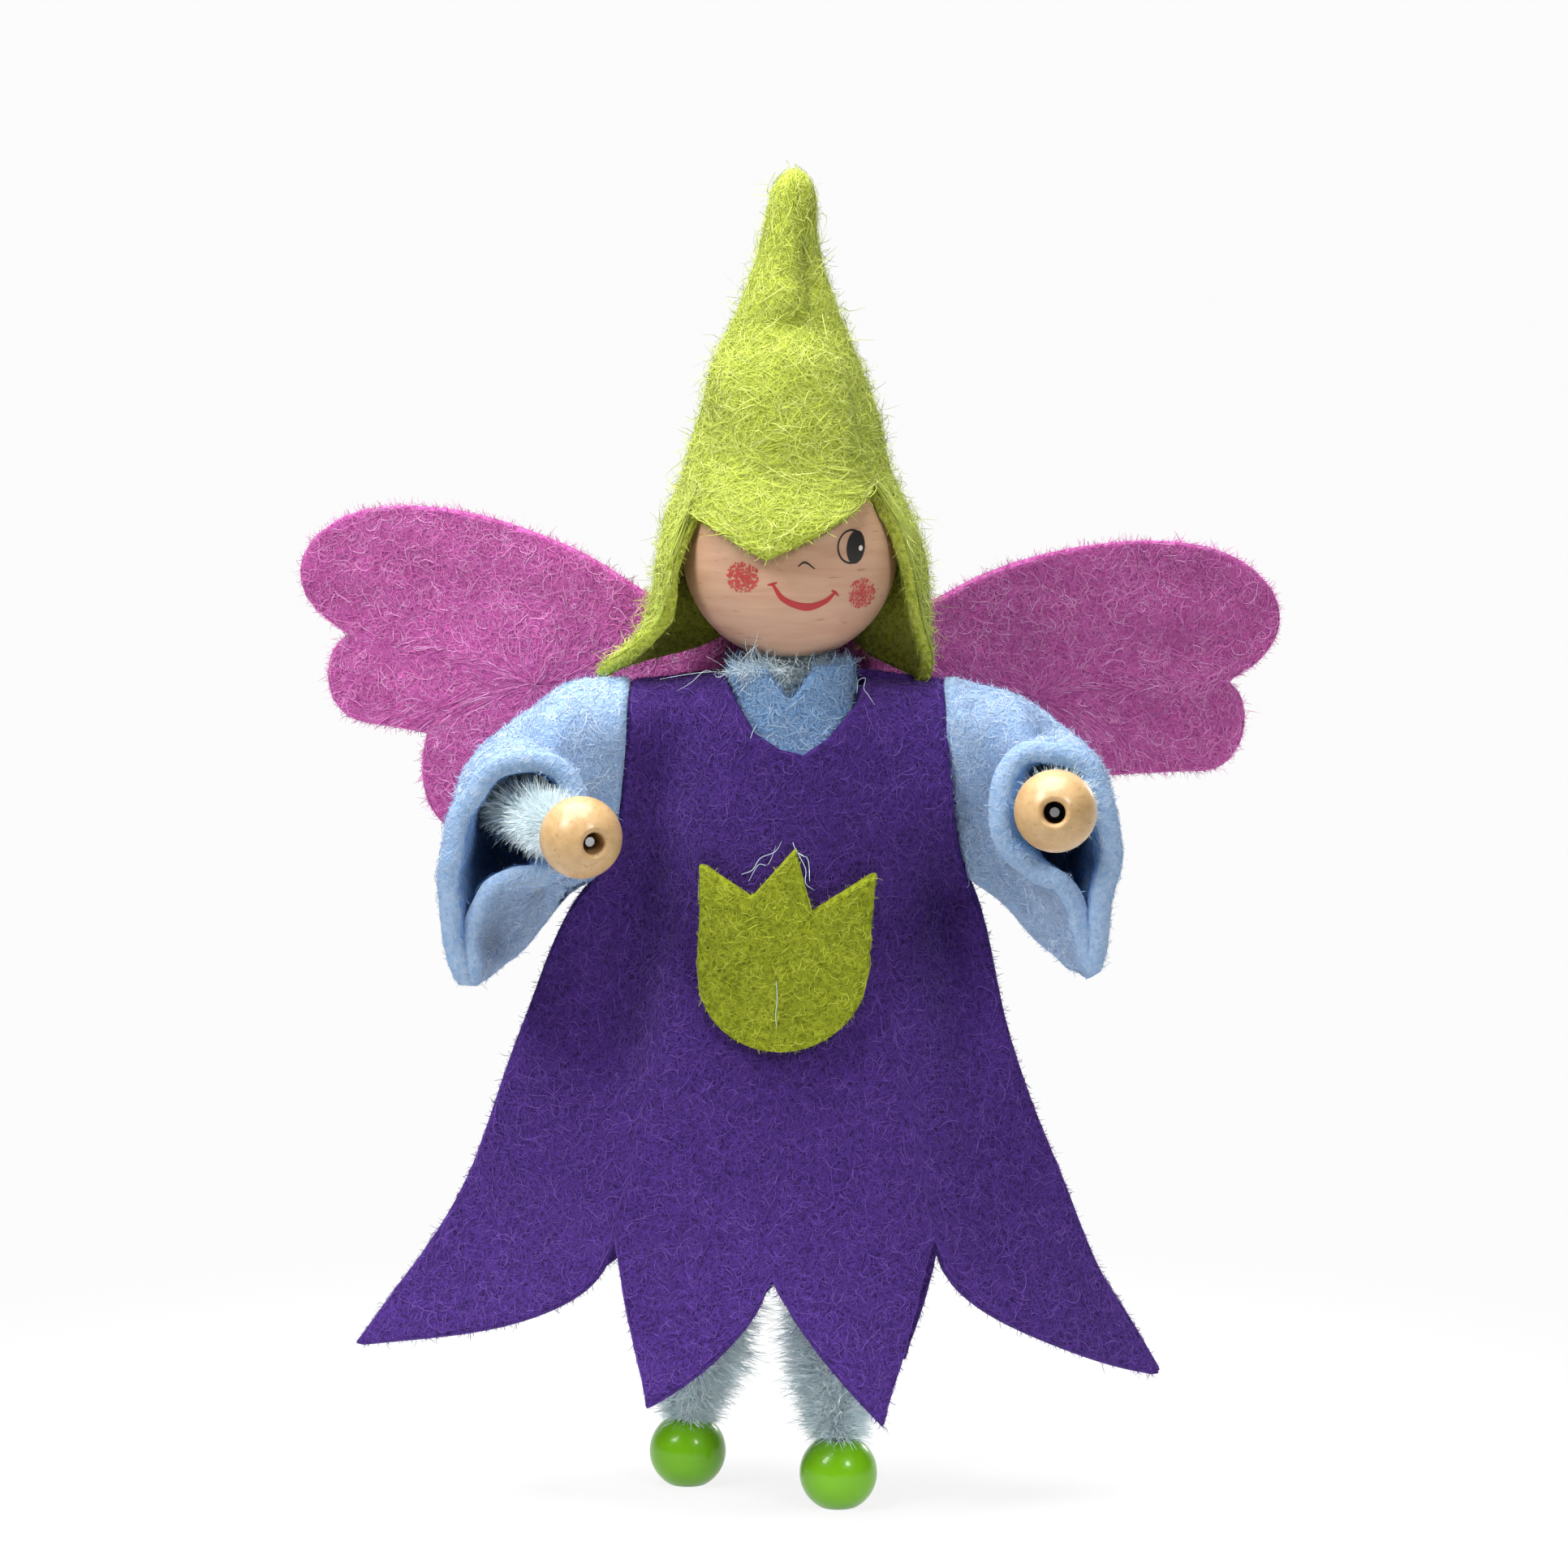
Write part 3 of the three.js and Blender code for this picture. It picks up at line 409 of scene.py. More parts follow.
# %% A felt body with soft rims
def felt_body(name, sheet, felt):
    rows = sheet.middle.shape[1]
    soft = np.sqrt(0.5)
    order = np.concatenate([np.arange(rows), [rows - 1] * 2, np.arange(rows)[::-1], [0] * 2])
    lift = np.concatenate([np.ones(rows), [soft, -soft], -np.ones(rows), [-soft, soft]])[:, None]
    push = np.concatenate([np.zeros(rows), [soft] * 2, np.zeros(rows), [-soft] * 2])[:, None]
    centre = sheet.middle[:, order]
    reach = sheet.half * (lift * sheet.normal[:, order] + push * unit(sheet.down[:, order]))
    points = centre + reach
    columns, loop = points.shape[:2]
    if not sheet.closed:
        edge = soft * sheet.half * unit(sheet.across[:, order])
        first = centre[:1] + soft * reach[:1] - edge[:1]
        last = centre[-1:] + soft * reach[-1:] + edge[-1:]
        points = np.concatenate([first, points, last])
        columns += 2
    quads = grid_quads(columns, loop, sheet.closed, True)
    if not sheet.closed:
        j = np.arange(rows - 1)
        inner = 2 * rows + 1 - j
        strip = np.stack([j, j + 1, inner - 1, inner], -1)
        ends = np.array([[rows - 1, rows, rows + 1, rows + 2], [2 * rows + 1, 2 * rows + 2, 2 * rows + 3, 0]])
        cap = np.concatenate([strip, ends])
        quads = np.concatenate([quads, cap, (columns - 1) * loop + cap[:, ::-1]])
    points = points.reshape(-1, 3)
    return mesh_object(name, points, outward(points, quads), [felt["ground"]])


# %% Unevenness
def ripple(points, size, seed, waves=14):
    """Slow unevenness from about -1 to 1, with waves of about that size."""
    local = np.random.default_rng(seed)
    ways = unit(local.normal(size=(waves, 3))) * (2 * np.pi / size) * local.uniform(0.7, 1.4, (waves, 1))
    return np.sin(points @ ways.T + local.uniform(0, 2 * np.pi, waves)).sum(-1) * np.sqrt(2 / waves) / 1.5


def uneven(middle, closed, size, height, seed):
    sheet = Sheet(middle, closed)
    return middle + sheet.normal * (height * ripple(middle, size, seed))[..., None]


# %% [markdown]
# ## Fibres
# Three kinds of loose fibre are laid on every sheet: curly ones that lie on its face, short ones that
# stand up from it and break its outline, and a fringe along the cut edges. Each is a narrow tapered strip
# in one of three tones of the same dye. A path holds places and facings: lying fibres face as the sheet
# does, so they take its light and shade. A hair system could grow them too, but strips are plain mesh,
# so the exported model keeps them.
# %% Places on a sheet
def look_up(grid, i, j, closed):
    """Values of a grid at broken columns and rows; past an open edge the sheet runs straight on."""
    columns, rows = grid.shape[:2]
    low = np.floor(i).astype(int) if closed else np.clip(np.floor(i).astype(int), 0, columns - 2)
    top = np.clip(np.floor(j).astype(int), 0, rows - 2)
    a, b = (i - low)[:, None], (j - top)[:, None]
    low, high = low % columns, (low + 1) % columns
    upper = grid[low, top] * (1 - a) + grid[high, top] * a
    lower = grid[low, top + 1] * (1 - a) + grid[high, top + 1] * a
    return upper * (1 - b) + lower * b


def scattered(sheet, per_mm2, where=None):
    weights = sheet.cells()
    if where is not None:
        weights = weights * where(sheet.middle[:weights.shape[0], :-1])
    count = int(per_mm2 * weights.sum())
    cell = np.searchsorted(np.cumsum(weights.ravel()), rng.random(count) * weights.sum())
    column, row = np.divmod(np.minimum(cell, weights.size - 1), weights.shape[1])
    return column + rng.random(count), row + rng.random(count)


# %% Fibres that lie on a face
# Wool fibres are about half as thick; they are drawn as coarse as they need to be to show.
FIBRE_MM = 0.06
STEPS = 6
LEAST_CELL = 0.02
MOST_CELLS = 3
PAST_EDGE = 0.5


def grid_step(sheet, i, j, heading, run):
    """Columns and rows that a run along the face takes, with its heading measured down from the level."""
    normal, across, down = (look_up(g, i, j, sheet.closed) for g in (sheet.normal, sheet.across, sheet.down))
    level = unit(np.cross(normal, [0, 0, 1]) + 1e-6)
    way = np.cos(heading)[:, None] * level + np.sin(heading)[:, None] * np.cross(level, normal)
    aa, dd, ad = ((p * q).sum(-1) for p, q in ((across, across), (down, down), (across, down)))
    wa, wd = (way * across).sum(-1), (way * down).sum(-1)
    area = np.maximum(aa * dd - ad * ad, 1e-5)
    return run * (wa * dd - wd * ad) / area, run * (wd * aa - wa * ad) / area


def lying(sheet, per_mm2, length, curl, lift, side=1, lay=0, spread=np.pi, where=None, steps=STEPS):
    i, j = scattered(sheet, per_mm2, where)
    count = len(i)
    face = sheet.face(side)
    wide = np.linalg.norm(look_up(sheet.across, i, j, sheet.closed), axis=-1) + LEAST_CELL
    tall = np.linalg.norm(look_up(sheet.down, i, j, sheet.closed), axis=-1) + LEAST_CELL
    run = length * rng.uniform(0.5, 1.4, count) / steps
    heading = lay + rng.uniform(-spread, spread, count) + np.pi * rng.integers(0, 2, count)
    bend = rng.normal(0, curl, count)
    height = lift * rng.random(count) ** 2
    tumble = rng.normal(0, 0.3, (count, 3))
    past = PAST_EDGE * rng.random(count)
    columns, rows = face.shape[:2]
    path = []
    for step in range(steps + 1):
        normal = side * look_up(sheet.normal, i, j, sheet.closed)
        rise = FIBRE_MM / 2 + height * np.sin(np.pi * step / steps)
        spot = look_up(face, i, j, sheet.closed) + normal * rise[:, None]
        path.append(np.concatenate([spot, normal + tumble], -1))
        heading = heading + bend + rng.normal(0, curl / 2, count)
        step_i, step_j = grid_step(sheet, i, j, heading, run)
        i, j = (at + step.clip(-MOST_CELLS, MOST_CELLS) for at, step in ((i, step_i), (j, step_j)))
        i = i if sheet.closed else np.clip(i, -past / wide, columns - 1 + past / wide)
        j = np.clip(j, -past / tall, rows - 1 + past / tall)
    return np.stack(path, 1)


# %% Fibres that stand up, and fringes
def tossed(root, way, length, curl):
    """Free fibres from their roots along their ways, each with a bend of its own."""
    count = len(root)
    reach = (length * rng.uniform(0.4, 1.4, count))[:, None, None]
    t = np.linspace(0, 1, STEPS + 1)[None, :, None]
    bow = rng.normal(0, curl, (count, 1, 3))
    twist = rng.normal(0, curl / 2, (count, 1, 3))
    path = root[:, None] + reach * (unit(way)[:, None] * t + bow * t * t + twist * np.sin(2 * np.pi * t) / 3)
    return np.concatenate([path, np.broadcast_to(rng.normal(size=(count, 1, 3)), path.shape)], -1)


def standing(sheet, per_mm2, length, lean, side=1, where=None, curl=0.35):
    i, j = scattered(sheet, per_mm2, where)
    normal = side * look_up(sheet.normal, i, j, sheet.closed)
    sideways = unit(np.cross(normal, rng.normal(size=normal.shape)))
    return tossed(look_up(sheet.face(side), i, j, sheet.closed), normal + lean * sideways, length, curl)


def run_along(line):
    """Length along a line of points, from its start to each of them."""
    return np.concatenate([[0], np.cumsum(np.linalg.norm(np.diff(line, axis=0), axis=-1))])


def fringe(sheet, per_mm, length, edges):
    """Loose ends along cut edges: low, top, first and last name the sheet's rims."""
    paths = []
    last, bottom = sheet.middle.shape[0] - 1, sheet.middle.shape[1] - 1
    rims = {"low": bottom, "top": 0, "first": 0, "last": last}
    for edge in edges:
        flat = edge in ("low", "top")
        line = sheet.middle[:, rims[edge]] if flat else sheet.middle[rims[edge]]
        line = np.concatenate([line, line[:1]]) if flat and sheet.closed else line
        reach = run_along(line)
        count = int(per_mm * reach[-1])
        at = np.interp(rng.random(count) * reach[-1], reach, np.arange(len(line)))
        fixed = np.full(count, rims[edge], float)
        i, j = (at, fixed) if flat else (fixed, at)
        out = look_up(sheet.down if flat else sheet.across, i, j, sheet.closed)
        out = unit(out) * (1 if edge in ("low", "last") else -1)
        normal = look_up(sheet.normal, i, j, sheet.closed)
        offset = sheet.half * rng.uniform(-0.9, 0.9, (count, 1))
        root = look_up(sheet.middle, i, j, sheet.closed) + normal * offset + 0.3 * sheet.half * out
        way = out + 0.6 * normal * np.sign(offset) * rng.random((count, 1)) + rng.normal(0, 0.5, out.shape)
        paths.append(tossed(root, way, length, 0.45))
    return np.concatenate(paths)


# %% Paths become strips
def strips(name, paths, materials, width=FIBRE_MM, tone_shares=(0.5, 0.35, 0.15)):
    count, steps = paths.shape[:2]
    paths, facing = paths[..., :3], paths[..., 3:]
    flat = unit(np.cross(np.gradient(paths, axis=1), facing))
    taper = np.interp(np.linspace(0, 1, steps), [0, 0.2, 0.75, 1], [0.7, 1, 0.9, 0.35])[None, :, None]
    reach = flat * taper * width * rng.uniform(0.35, 0.65, (count, 1, 1))
    points = np.stack([paths - reach, paths + reach], 2).reshape(-1, 3)
    quads = grid_quads(steps, 2, False, False)[None] + (np.arange(count) * steps * 2)[:, None, None]
    tones = rng.choice(len(materials), count, p=tone_shares[:len(materials)])
    return mesh_object(name, points, quads.reshape(-1, 4), materials, np.repeat(tones, steps - 1))


# %% [markdown]
# ## Putting a piece in place
# Pieces ride on bodies of the model and stand for the plain solids there; one given two bodies is only
# left where it was made. Felt is made as a sheet, the size it was cut to is printed, and its fibres go
# with it.
# %% Placing helpers
LAID = {}


def place(piece, body, slot, *nodes):
    if nodes:
        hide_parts(*nodes)
    if isinstance(body, str):
        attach(piece, body)
    else:
        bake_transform(piece)


def felt_piece(name, sheet, dye, body, fibres, cut=None):
    felt = FELTS[dye]
    slot = f"{DYES[dye].get('slot', dye)}_felt"
    piece = felt_body(name, sheet, felt)
    place(piece, body, slot, name)
    for kind, paths in fibres.items():
        tuft = strips(f"{name}_{kind}", paths, felt["lining" if kind == "lining" else "loose"])
        place(tuft, body, slot)
    width, length, area = sheet.flat()
    if cut is not None:
        width, length = cut
    LAID[name] = sheet
    cut_mm = (round(width / MM), round(length / MM), round(area / MM / MM))
    print(name, "cut", cut_mm, "fibres", sum(len(p) for p in fibres.values()))


# %% [markdown]
# ## Dress
# The dress is a tabard: two flared panels of purple felt, joined at the shoulders and sides, with a V
# neck and a hem cut into pointed petals. Its outline tables are drops below the shoulder line, as they
# are in the model. Each hem span runs between a notch and a tip with a curve of its own. Flat cuts could
# be draped by a cloth simulation; worked out from its outline, the dress hangs as the real one does.
# %% Smooth lines and the columns of a sheet
def curve_through(points):
    """A smooth line through (place, value) points, by cubic spans with the slope of their neighbours."""
    xs, ys = np.array(points, float).T
    slopes = np.gradient(ys, xs)
    slopes[[0, -1]] = np.diff(ys)[[0, -1]] / np.diff(xs)[[0, -1]]

    def value(x):
        k = np.clip(np.searchsorted(xs, x) - 1, 0, len(xs) - 2)
        span = xs[k + 1] - xs[k]
        t = np.clip((x - xs[k]) / span, 0, 1)
        rise = ys[k] * (1 + 2 * t) * (1 - t) ** 2 + ys[k + 1] * t * t * (3 - 2 * t)
        return rise + span * (slopes[k] * t * (1 - t) ** 2 - slopes[k + 1] * t * t * (1 - t))

    return value


def columns_through(notes, count):
    """Places from note to note, each note among them; count tells how many a span of that size gets."""
    return np.unique(np.concatenate([np.linspace(a, b, count(b - a)) for a, b in zip(notes, notes[1:])]))


# %% Dress outline
DRESS_SIDE = {
    "right": [(0, -1.4), (10.9, -0.4), (17.9, 0.6), (24.9, 5), (36.9, 10), (47.4, 13.7), (57.9, 18.8),
              (67.9, 25.6), (72.9, 29.5)],
    "left": [(0, -0.8), (10.9, 0), (17.9, 1), (24.9, 3.4), (33.9, 5.4), (42.9, 8), (51.9, 11.6),
             (61.9, 15.5), (68.9, 19.6), (75.9, 24)],
}
HEM = [(-1, 70.1), (-0.49, 58.4), (-0.3, 73.7), (-0.035, 61.4), (0.25, 75.2), (0.5, 58.2), (1, 73.1)]
# Each span's curve, as the power of the way from its notch to its tip.
HEM_CURVES = [0.38, 1.0, 1 / 1.45, 0.88, 1 / 1.02, 0.5]
HEM_STEEP = 2.5
FRONT_NECK = [
    (-0.39, 0), (-0.31, 2.8), (-0.19, 5.9), (-0.02, 7.8), (0.12, 8.2), (0.28, 6.3), (0.47, 2.4), (0.54, 0),
]
BACK_NECK = [(-0.37, 0), (-0.16, 4), (0.1, 4.8), (0.32, 3.6), (0.47, 0)]
RIM = 0.5
SHOULDER_SLOPE = 1.4
SHOULDER_ROUND = 6.5
UNDERARM_DROP = 23.9
ARMHOLE = 5.4
ARMHOLE_CURVE = 1.8
CHEST_DEPTH = 7.1
HEM_DROP = 75.9
HEM_FLARE = 11
FLARE_CURVE = 2.5
FLARE_START = 9
SEAM_Y = 0.8
BACK_HEM_SHIFT = 0.09
DRESS_COLUMNS = 90
# Soft folds in the front under the arms: from and to as (x, drop), half width and depth.
FRONT_FOLDS = [((-12, 6.5), (-18, 42), 4, 4.0), ((16, 18), (18.8, 40), 3.2, 3.2)]
FOLD_END = 7
dress_side = {side: curve_through(points) for side, points in DRESS_SIDE.items()}


def dress_width(x, drop):
    return SHOULDER[0] - RIM + np.where(x < 0, dress_side["right"](drop), dress_side["left"](drop))


def dress_depth(u, drop):
    line = SHOULDER_SLOPE * abs(u)
    opened = np.clip((UNDERARM_DROP - drop) / (UNDERARM_DROP - line), 0, 1)
    edge = SEAM_Y + (ARMHOLE - SEAM_Y) * np.sin(np.pi * np.minimum(opened, 0.5)) ** ARMHOLE_CURVE
    below = drop - UNDERARM_DROP
    down = (below + np.sqrt(below ** 2 + FLARE_START ** 2)) / 2 / (HEM_DROP - UNDERARM_DROP)
    bulge = edge + (CHEST_DEPTH + HEM_FLARE * down ** FLARE_CURVE - edge) * np.cos(np.pi * u / 2)
    over = np.clip(1 - (drop - line) / SHOULDER_ROUND, 0, 1)
    return SEAM_Y + (bulge - SEAM_Y) * np.sqrt(1 - over ** 2)


def front_folds(x, drop):
    deep = np.zeros_like(drop)
    for (x0, d0), (x1, d1), wide, depth in FRONT_FOLDS:
        along = np.clip(np.minimum(drop - d0, d1 - drop) / FOLD_END, -1, 1)
        ends = 0.5 + 0.5 * np.sin(np.pi / 2 * along)
        centre = x0 + (x1 - x0) * (drop - d0) / (d1 - d0)
        deep = deep + depth * ends * np.exp(-((x - centre) / wide) ** 2)
    return deep


def hem_drop(u):
    drop = np.zeros_like(u)
    for start, end, curve in zip(HEM, HEM[1:], HEM_CURVES):
        notch, tip = sorted([start, end], key=lambda spot: spot[1])
        t = np.clip((u - notch[0]) / (tip[0] - notch[0]), 0, 1)
        inside = (u >= start[0]) & (u <= end[0])
        drop = np.where(inside, notch[1] + (tip[1] - notch[1]) * t ** curve, drop)
    return drop


print("hem spans", len(HEM_CURVES), "lowest tip", max(drop for _, drop in HEM))


# %% Dress panels
def dress_panel(facing, neck, shift, seed):
    notes = sorted({*[u for u, _ in HEM], *[u for u, _ in neck]})
    u = columns_through(notes, lambda span: max(int(DRESS_COLUMNS * span), 3))
    v = np.concatenate([np.linspace(0, 0.1, 14), np.linspace(0.1, 1, 100)[1:]])
    top = SHOULDER_SLOPE * abs(u) + np.interp(u, *np.array(neck).T, left=0, right=0)
    hem = hem_drop(np.clip(u - shift * (1 - u * u), -1, 1))
    steep = np.gradient(hem, u * dress_width(u, hem)).clip(-HEM_STEEP, HEM_STEEP)
    hem = hem - RIM * np.sqrt(1 + steep ** 2)
    drop = top[:, None] + (hem - top)[:, None] * v[None]
    uu = u[:, None] + 0 * drop
    x = uu * dress_width(uu, drop)
    depth = dress_depth(uu, drop) - (front_folds(x, drop) if facing < 0 else 0)
    middle = np.stack([x, facing * depth, SHOULDER_TOP - drop], -1)
    return Sheet(uneven(middle, False, 22, 0.35, seed), outside=facing)


def dress_fibres(sheet):
    hanging = dict(lay=np.pi / 2, spread=1.2)
    return {
        "nap": lying(sheet, 7.0, 1.3, 0.5, 0.22, steps=3, **hanging),
        "loops": lying(sheet, 1.6, 2.4, 0.45, 0.4, **hanging),
        "fuzz": np.concatenate([
            standing(sheet, 1.0, 0.45, 1.3), fringe(sheet, 14, 0.5, ["low", "first", "last"])]),
        "lining": np.concatenate([lying(sheet, 1.0, 1.8, 0.5, 0.2, side=-1), fringe(sheet, 6, 0.4, ["top"])]),
    }


front = dress_panel(-1, FRONT_NECK, 0, 3)
felt_piece("dress_front", front, "purple", "torso", dress_fibres(front))
rear = dress_panel(1, BACK_NECK, BACK_HEM_SHIFT, 4)
felt_piece("dress_back", rear, "purple", "torso", dress_fibres(rear))

# %% [markdown]
# ## Tulip patch
# A plain tulip shape of yellow-green felt is glued on the dress. Its mat is tighter than the rest, with
# few fibres. It could be cut flat and pressed on; it takes the dress's own depth instead, so that it lies
# on it everywhere.
# %% Tulip
TULIP_HALF_WIDTH = 8.5
TULIP_TOP_DROP = 19.6
TULIP_BASE_DROP = 37.5
TULIP_CHEEK = 7.8
TULIP_SLANT = 0.05
TULIP_MIDDLE_DROP = 28.5
TULIP_RIM = [(-1, 0), (-0.42, 3), (0.07, -1.9), (0.3, 4.5), (1, 0.9)]
TULIP_COLUMNS = 16
PATCH_GLUE = 0.3


def tulip_sheet():
    u = columns_through([u for u, _ in TULIP_RIM], lambda span: TULIP_COLUMNS)
    high = TULIP_TOP_DROP + np.interp(u, *np.array(TULIP_RIM).T)
    low = TULIP_BASE_DROP - TULIP_CHEEK * (1 - np.sqrt(1 - u * u))
    drop = high[:, None] + (low - high)[:, None] * np.linspace(0, 1, 50)[None]
    x = (u * TULIP_HALF_WIDTH)[:, None] + TULIP_SLANT * (TULIP_MIDDLE_DROP - drop)
    depth = dress_depth(x / dress_width(x, drop), drop) - front_folds(x, drop) + FELT + PATCH_GLUE
    return Sheet(np.stack([x, -depth, SHOULDER_TOP - drop], -1), outside=-1)


tulip = tulip_sheet()
felt_piece("tulip_patch", tulip, "tulip", "torso", {
    "nap": lying(tulip, 9.0, 1.3, 0.6, 0.15, steps=4),
    "fuzz": np.concatenate([
        standing(tulip, 1.0, 0.35, 1.4), fringe(tulip, 12, 0.4, ["low", "top", "first", "last"])]),
})

# %% [markdown]
# ## Hat
# A cone of long-fibred lime felt, with a short peak over the brow and a flap down either side of the
# head. Behind, its brim stays low and curls in under the head. It is rolled tight at the tip and dented
# where it was pinched. Its fibres run round it and many stand off its outline. It could be sculpted by
# hand; a turned profile with a few dents is easier to match to an outline.
# %% Hat outline
HAT_PROFILE = [
    (-13, 14.3), (-4.8, 14.1), (2.6, 12.6), (7.6, 10.4), (13.4, 9.0), (19.2, 7.2), (25.2, 4.8), (30.2, 3.3),
    (33.4, 2.55), (35.6, 2.2), (36.8, 1.9), (37.5, 1.5), (37.95, 1.05), (38.1, 0.66),
]
# Brim round the hat: angle from the front and height above the head's centre.
HAT_BRIM = [
    (-180, -6.2), (-140, -6.2), (-90, -12.6), (-70, -9.4), (-61, -6.5), (-57, -3), (-54.5, 4.4), (-34, 3.5),
    (-5, 0.3), (39, 4.7), (64, 7.4), (66, 4.7), (70, 0.4), (75, -2.9), (82, -7.2), (95, -12.9), (140, -8.6),
    (180, -6.2),
]
HAT_COLUMN = 1.5
HAT_EASE = 0.3
# Above this height the sheet's rows are level, below it they follow the brim.
HAT_LEVEL = 9.5
ROWS_TO_TIP = 1.5
# Behind, the brim stays low and curls in under the head.
BACK_CURL = 4.6
CURL_ANGLES = (92, 125)
CURL_HEIGHTS = (-8.5, -1)
HAT_SWAY = -0.4
HAT_SWAY_AT = 19
HAT_SWAY_TALL = 8
HAT_TURN = -6
HAT_LEAN = 0.4
HAT_LEAN_FROM = 30
FLAP_FLARE = 5.8
FLAP_FLARE_FROM = -5.5
FLAP_LOW = -12.6
# Dents: angle from the front, height above the head's centre, their spreads, and depth.
HAT_DENTS = [
    (44, 27.5, 27, 3.6, 1.7), (20, 22.8, 45, 1.9, 1.2), (10, 18.5, 45, 3, -0.5), (-58, 13.5, 16, 3, 0.7),
    (61, 13.5, 13, 4, 0.6),
]
print("hat brim points", len(HAT_BRIM), "dents", len(HAT_DENTS))


# %% Hat
def eased(value, low, high):
    t = np.clip((value - low) / (high - low), 0, 1)
    return t * t * (3 - 2 * t)


def hat_sheet():
    angle = columns_through([a for a, _ in HAT_BRIM], lambda span: max(round(span / HAT_COLUMN) + 1, 2))[:-1]
    brim = np.interp(angle, *np.array(HAT_BRIM).T)
    tip = HAT_PROFILE[-1][0]
    level = tip + (HAT_LEVEL - tip) * np.linspace(0, 1, 64) ** ROWS_TO_TIP
    low = HAT_LEVEL + (brim - HAT_LEVEL)[:, None] * np.linspace(0, 1, 49)[None, 1:]
    z = np.hstack([np.tile(level, (len(angle), 1)), low])
    a = angle[:, None] + 0 * z
    ball = np.sqrt(np.maximum(HEAD_R ** 2 - z * z, 0))
    seat = np.where(abs(z) < HEAD_R, ball + HAT_EASE + FELT, 0)
    behind = eased(abs(a), *CURL_ANGLES)
    curl = BACK_CURL * behind * (1 - eased(z, *CURL_HEIGHTS))
    r = np.maximum(curve_through(HAT_PROFILE)(z) - curl, seat) - FELT / 2
    for at, height, wide, tall, depth in HAT_DENTS:
        off = (a - at + 180) % 360 - 180
        r = r - depth * np.exp(-(off / wide) ** 2 - ((z - height) / tall) ** 2)
    below = np.maximum(FLAP_FLARE_FROM - z, 0) / (FLAP_FLARE_FROM - FLAP_LOW)
    r = r + np.maximum(-np.sin(np.radians(a)), 0) * FLAP_FLARE * below ** 2 * (1 - behind)
    lean = HAT_LEAN * (np.maximum(z - HAT_LEAN_FROM, 0) / (tip - HAT_LEAN_FROM)) ** 2
    lean = lean + HAT_SWAY * np.exp(-((z - HAT_SWAY_AT) / HAT_SWAY_TALL) ** 2)
    turn = np.radians(a + HAT_TURN)
    middle = np.stack([HEAD[0] + lean + r * np.sin(turn), -r * np.cos(turn), HEAD[2] + z], -1)
    return Sheet(uneven(middle, True, 9, 0.3, 8), True, -1)


hat = hat_sheet()
felt_piece("hat", hat, "lime", "head", {
    "nap": lying(hat, 7.0, 2.6, 0.3, 0.3, spread=0.8, steps=4),
    "loops": lying(hat, 2.4, 4.5, 0.45, 1.1, spread=0.9),
    "fuzz": np.concatenate([standing(hat, 2.6, 0.85, 1.8, curl=0.9), fringe(hat, 12, 0.6, ["low", "top"])]),
    "lining": lying(hat, 1.2, 3, 0.3, 0.2, side=-1, steps=4),
})
print("hat stands", hat.middle[..., 2].min().round(1), "to", hat.middle[..., 2].max().round(1))

# %% [markdown]
# ## Blouse
# A light blue felt tube is wrapped round the trunk under the dress. Only its collar shows, in the V of
# the neck: two rounded lobes that meet in a short slit. It could be rolled from a flat cut; a tube that
# narrows to the collar is enough, because the dress hides the rest.
# %% Blouse
# Heights from the lower edge to the collar, and the tube's half widths and half depths there.
BLOUSE_HEIGHTS = (58.8, 77, 82.8, 86.4)
BLOUSE_WIDE = (9.65, 9.65, 6.4, 6.0)
BLOUSE_DEEP = (5.45, 5.45, 5.0, 5.0)
BLOUSE_LOW, BLOUSE_HIGH = BLOUSE_HEIGHTS[0], BLOUSE_HEIGHTS[-1]
BLOUSE_SEEN = 70
HIDDEN_SHARE = 0.1
BLOUSE_CORNER = 0.75
COLLAR_SLIT = 3.4
COLLAR_SLIT_ANGLE = 20
COLLAR_SLIT_CURVE = 1.3


def blouse_sheet():
    turn = np.linspace(-np.pi, np.pi, 161)[:-1]
    slit = np.maximum(1 - abs(np.degrees(turn)) / COLLAR_SLIT_ANGLE, 0) ** COLLAR_SLIT_CURVE
    top = BLOUSE_HIGH - COLLAR_SLIT * slit
    z = top[:, None] + (BLOUSE_LOW - top)[:, None] * np.linspace(0, 1, 60)[None]
    rx = curve_through(list(zip(BLOUSE_HEIGHTS, BLOUSE_WIDE)))(z)
    ry = np.interp(z, BLOUSE_HEIGHTS, BLOUSE_DEEP)
    shift = np.interp(z, BLOUSE_HEIGHTS, (0, 0, NECK[0], NECK[0]))
    a = turn[:, None] + 0 * z
    wide, deep = (np.sign(w) * abs(w) ** BLOUSE_CORNER for w in (np.sin(a), np.cos(a)))
    middle = np.stack([shift + rx * wide, -ry * deep, z], -1)
    return Sheet(uneven(middle, True, 6, 0.12, 11), True, -1)


def shows(points):
    """Full weight where the blouse can be seen, little where the dress hides it."""
    return ((points[..., 1] < 0) & (points[..., 2] > BLOUSE_SEEN)) + HIDDEN_SHARE


blouse = blouse_sheet()
# The collar dye is the blue felt darkened: painted shade under the head.
felt_piece("blouse", blouse, "collar", "torso", {
    "nap": lying(blouse, 10.0, 1.8, 0.45, 0.3, where=shows, steps=4),
    "fuzz": np.concatenate([standing(blouse, 4, 0.6, 1.2, where=shows), fringe(blouse, 26, 0.9, ["top"])]),
})

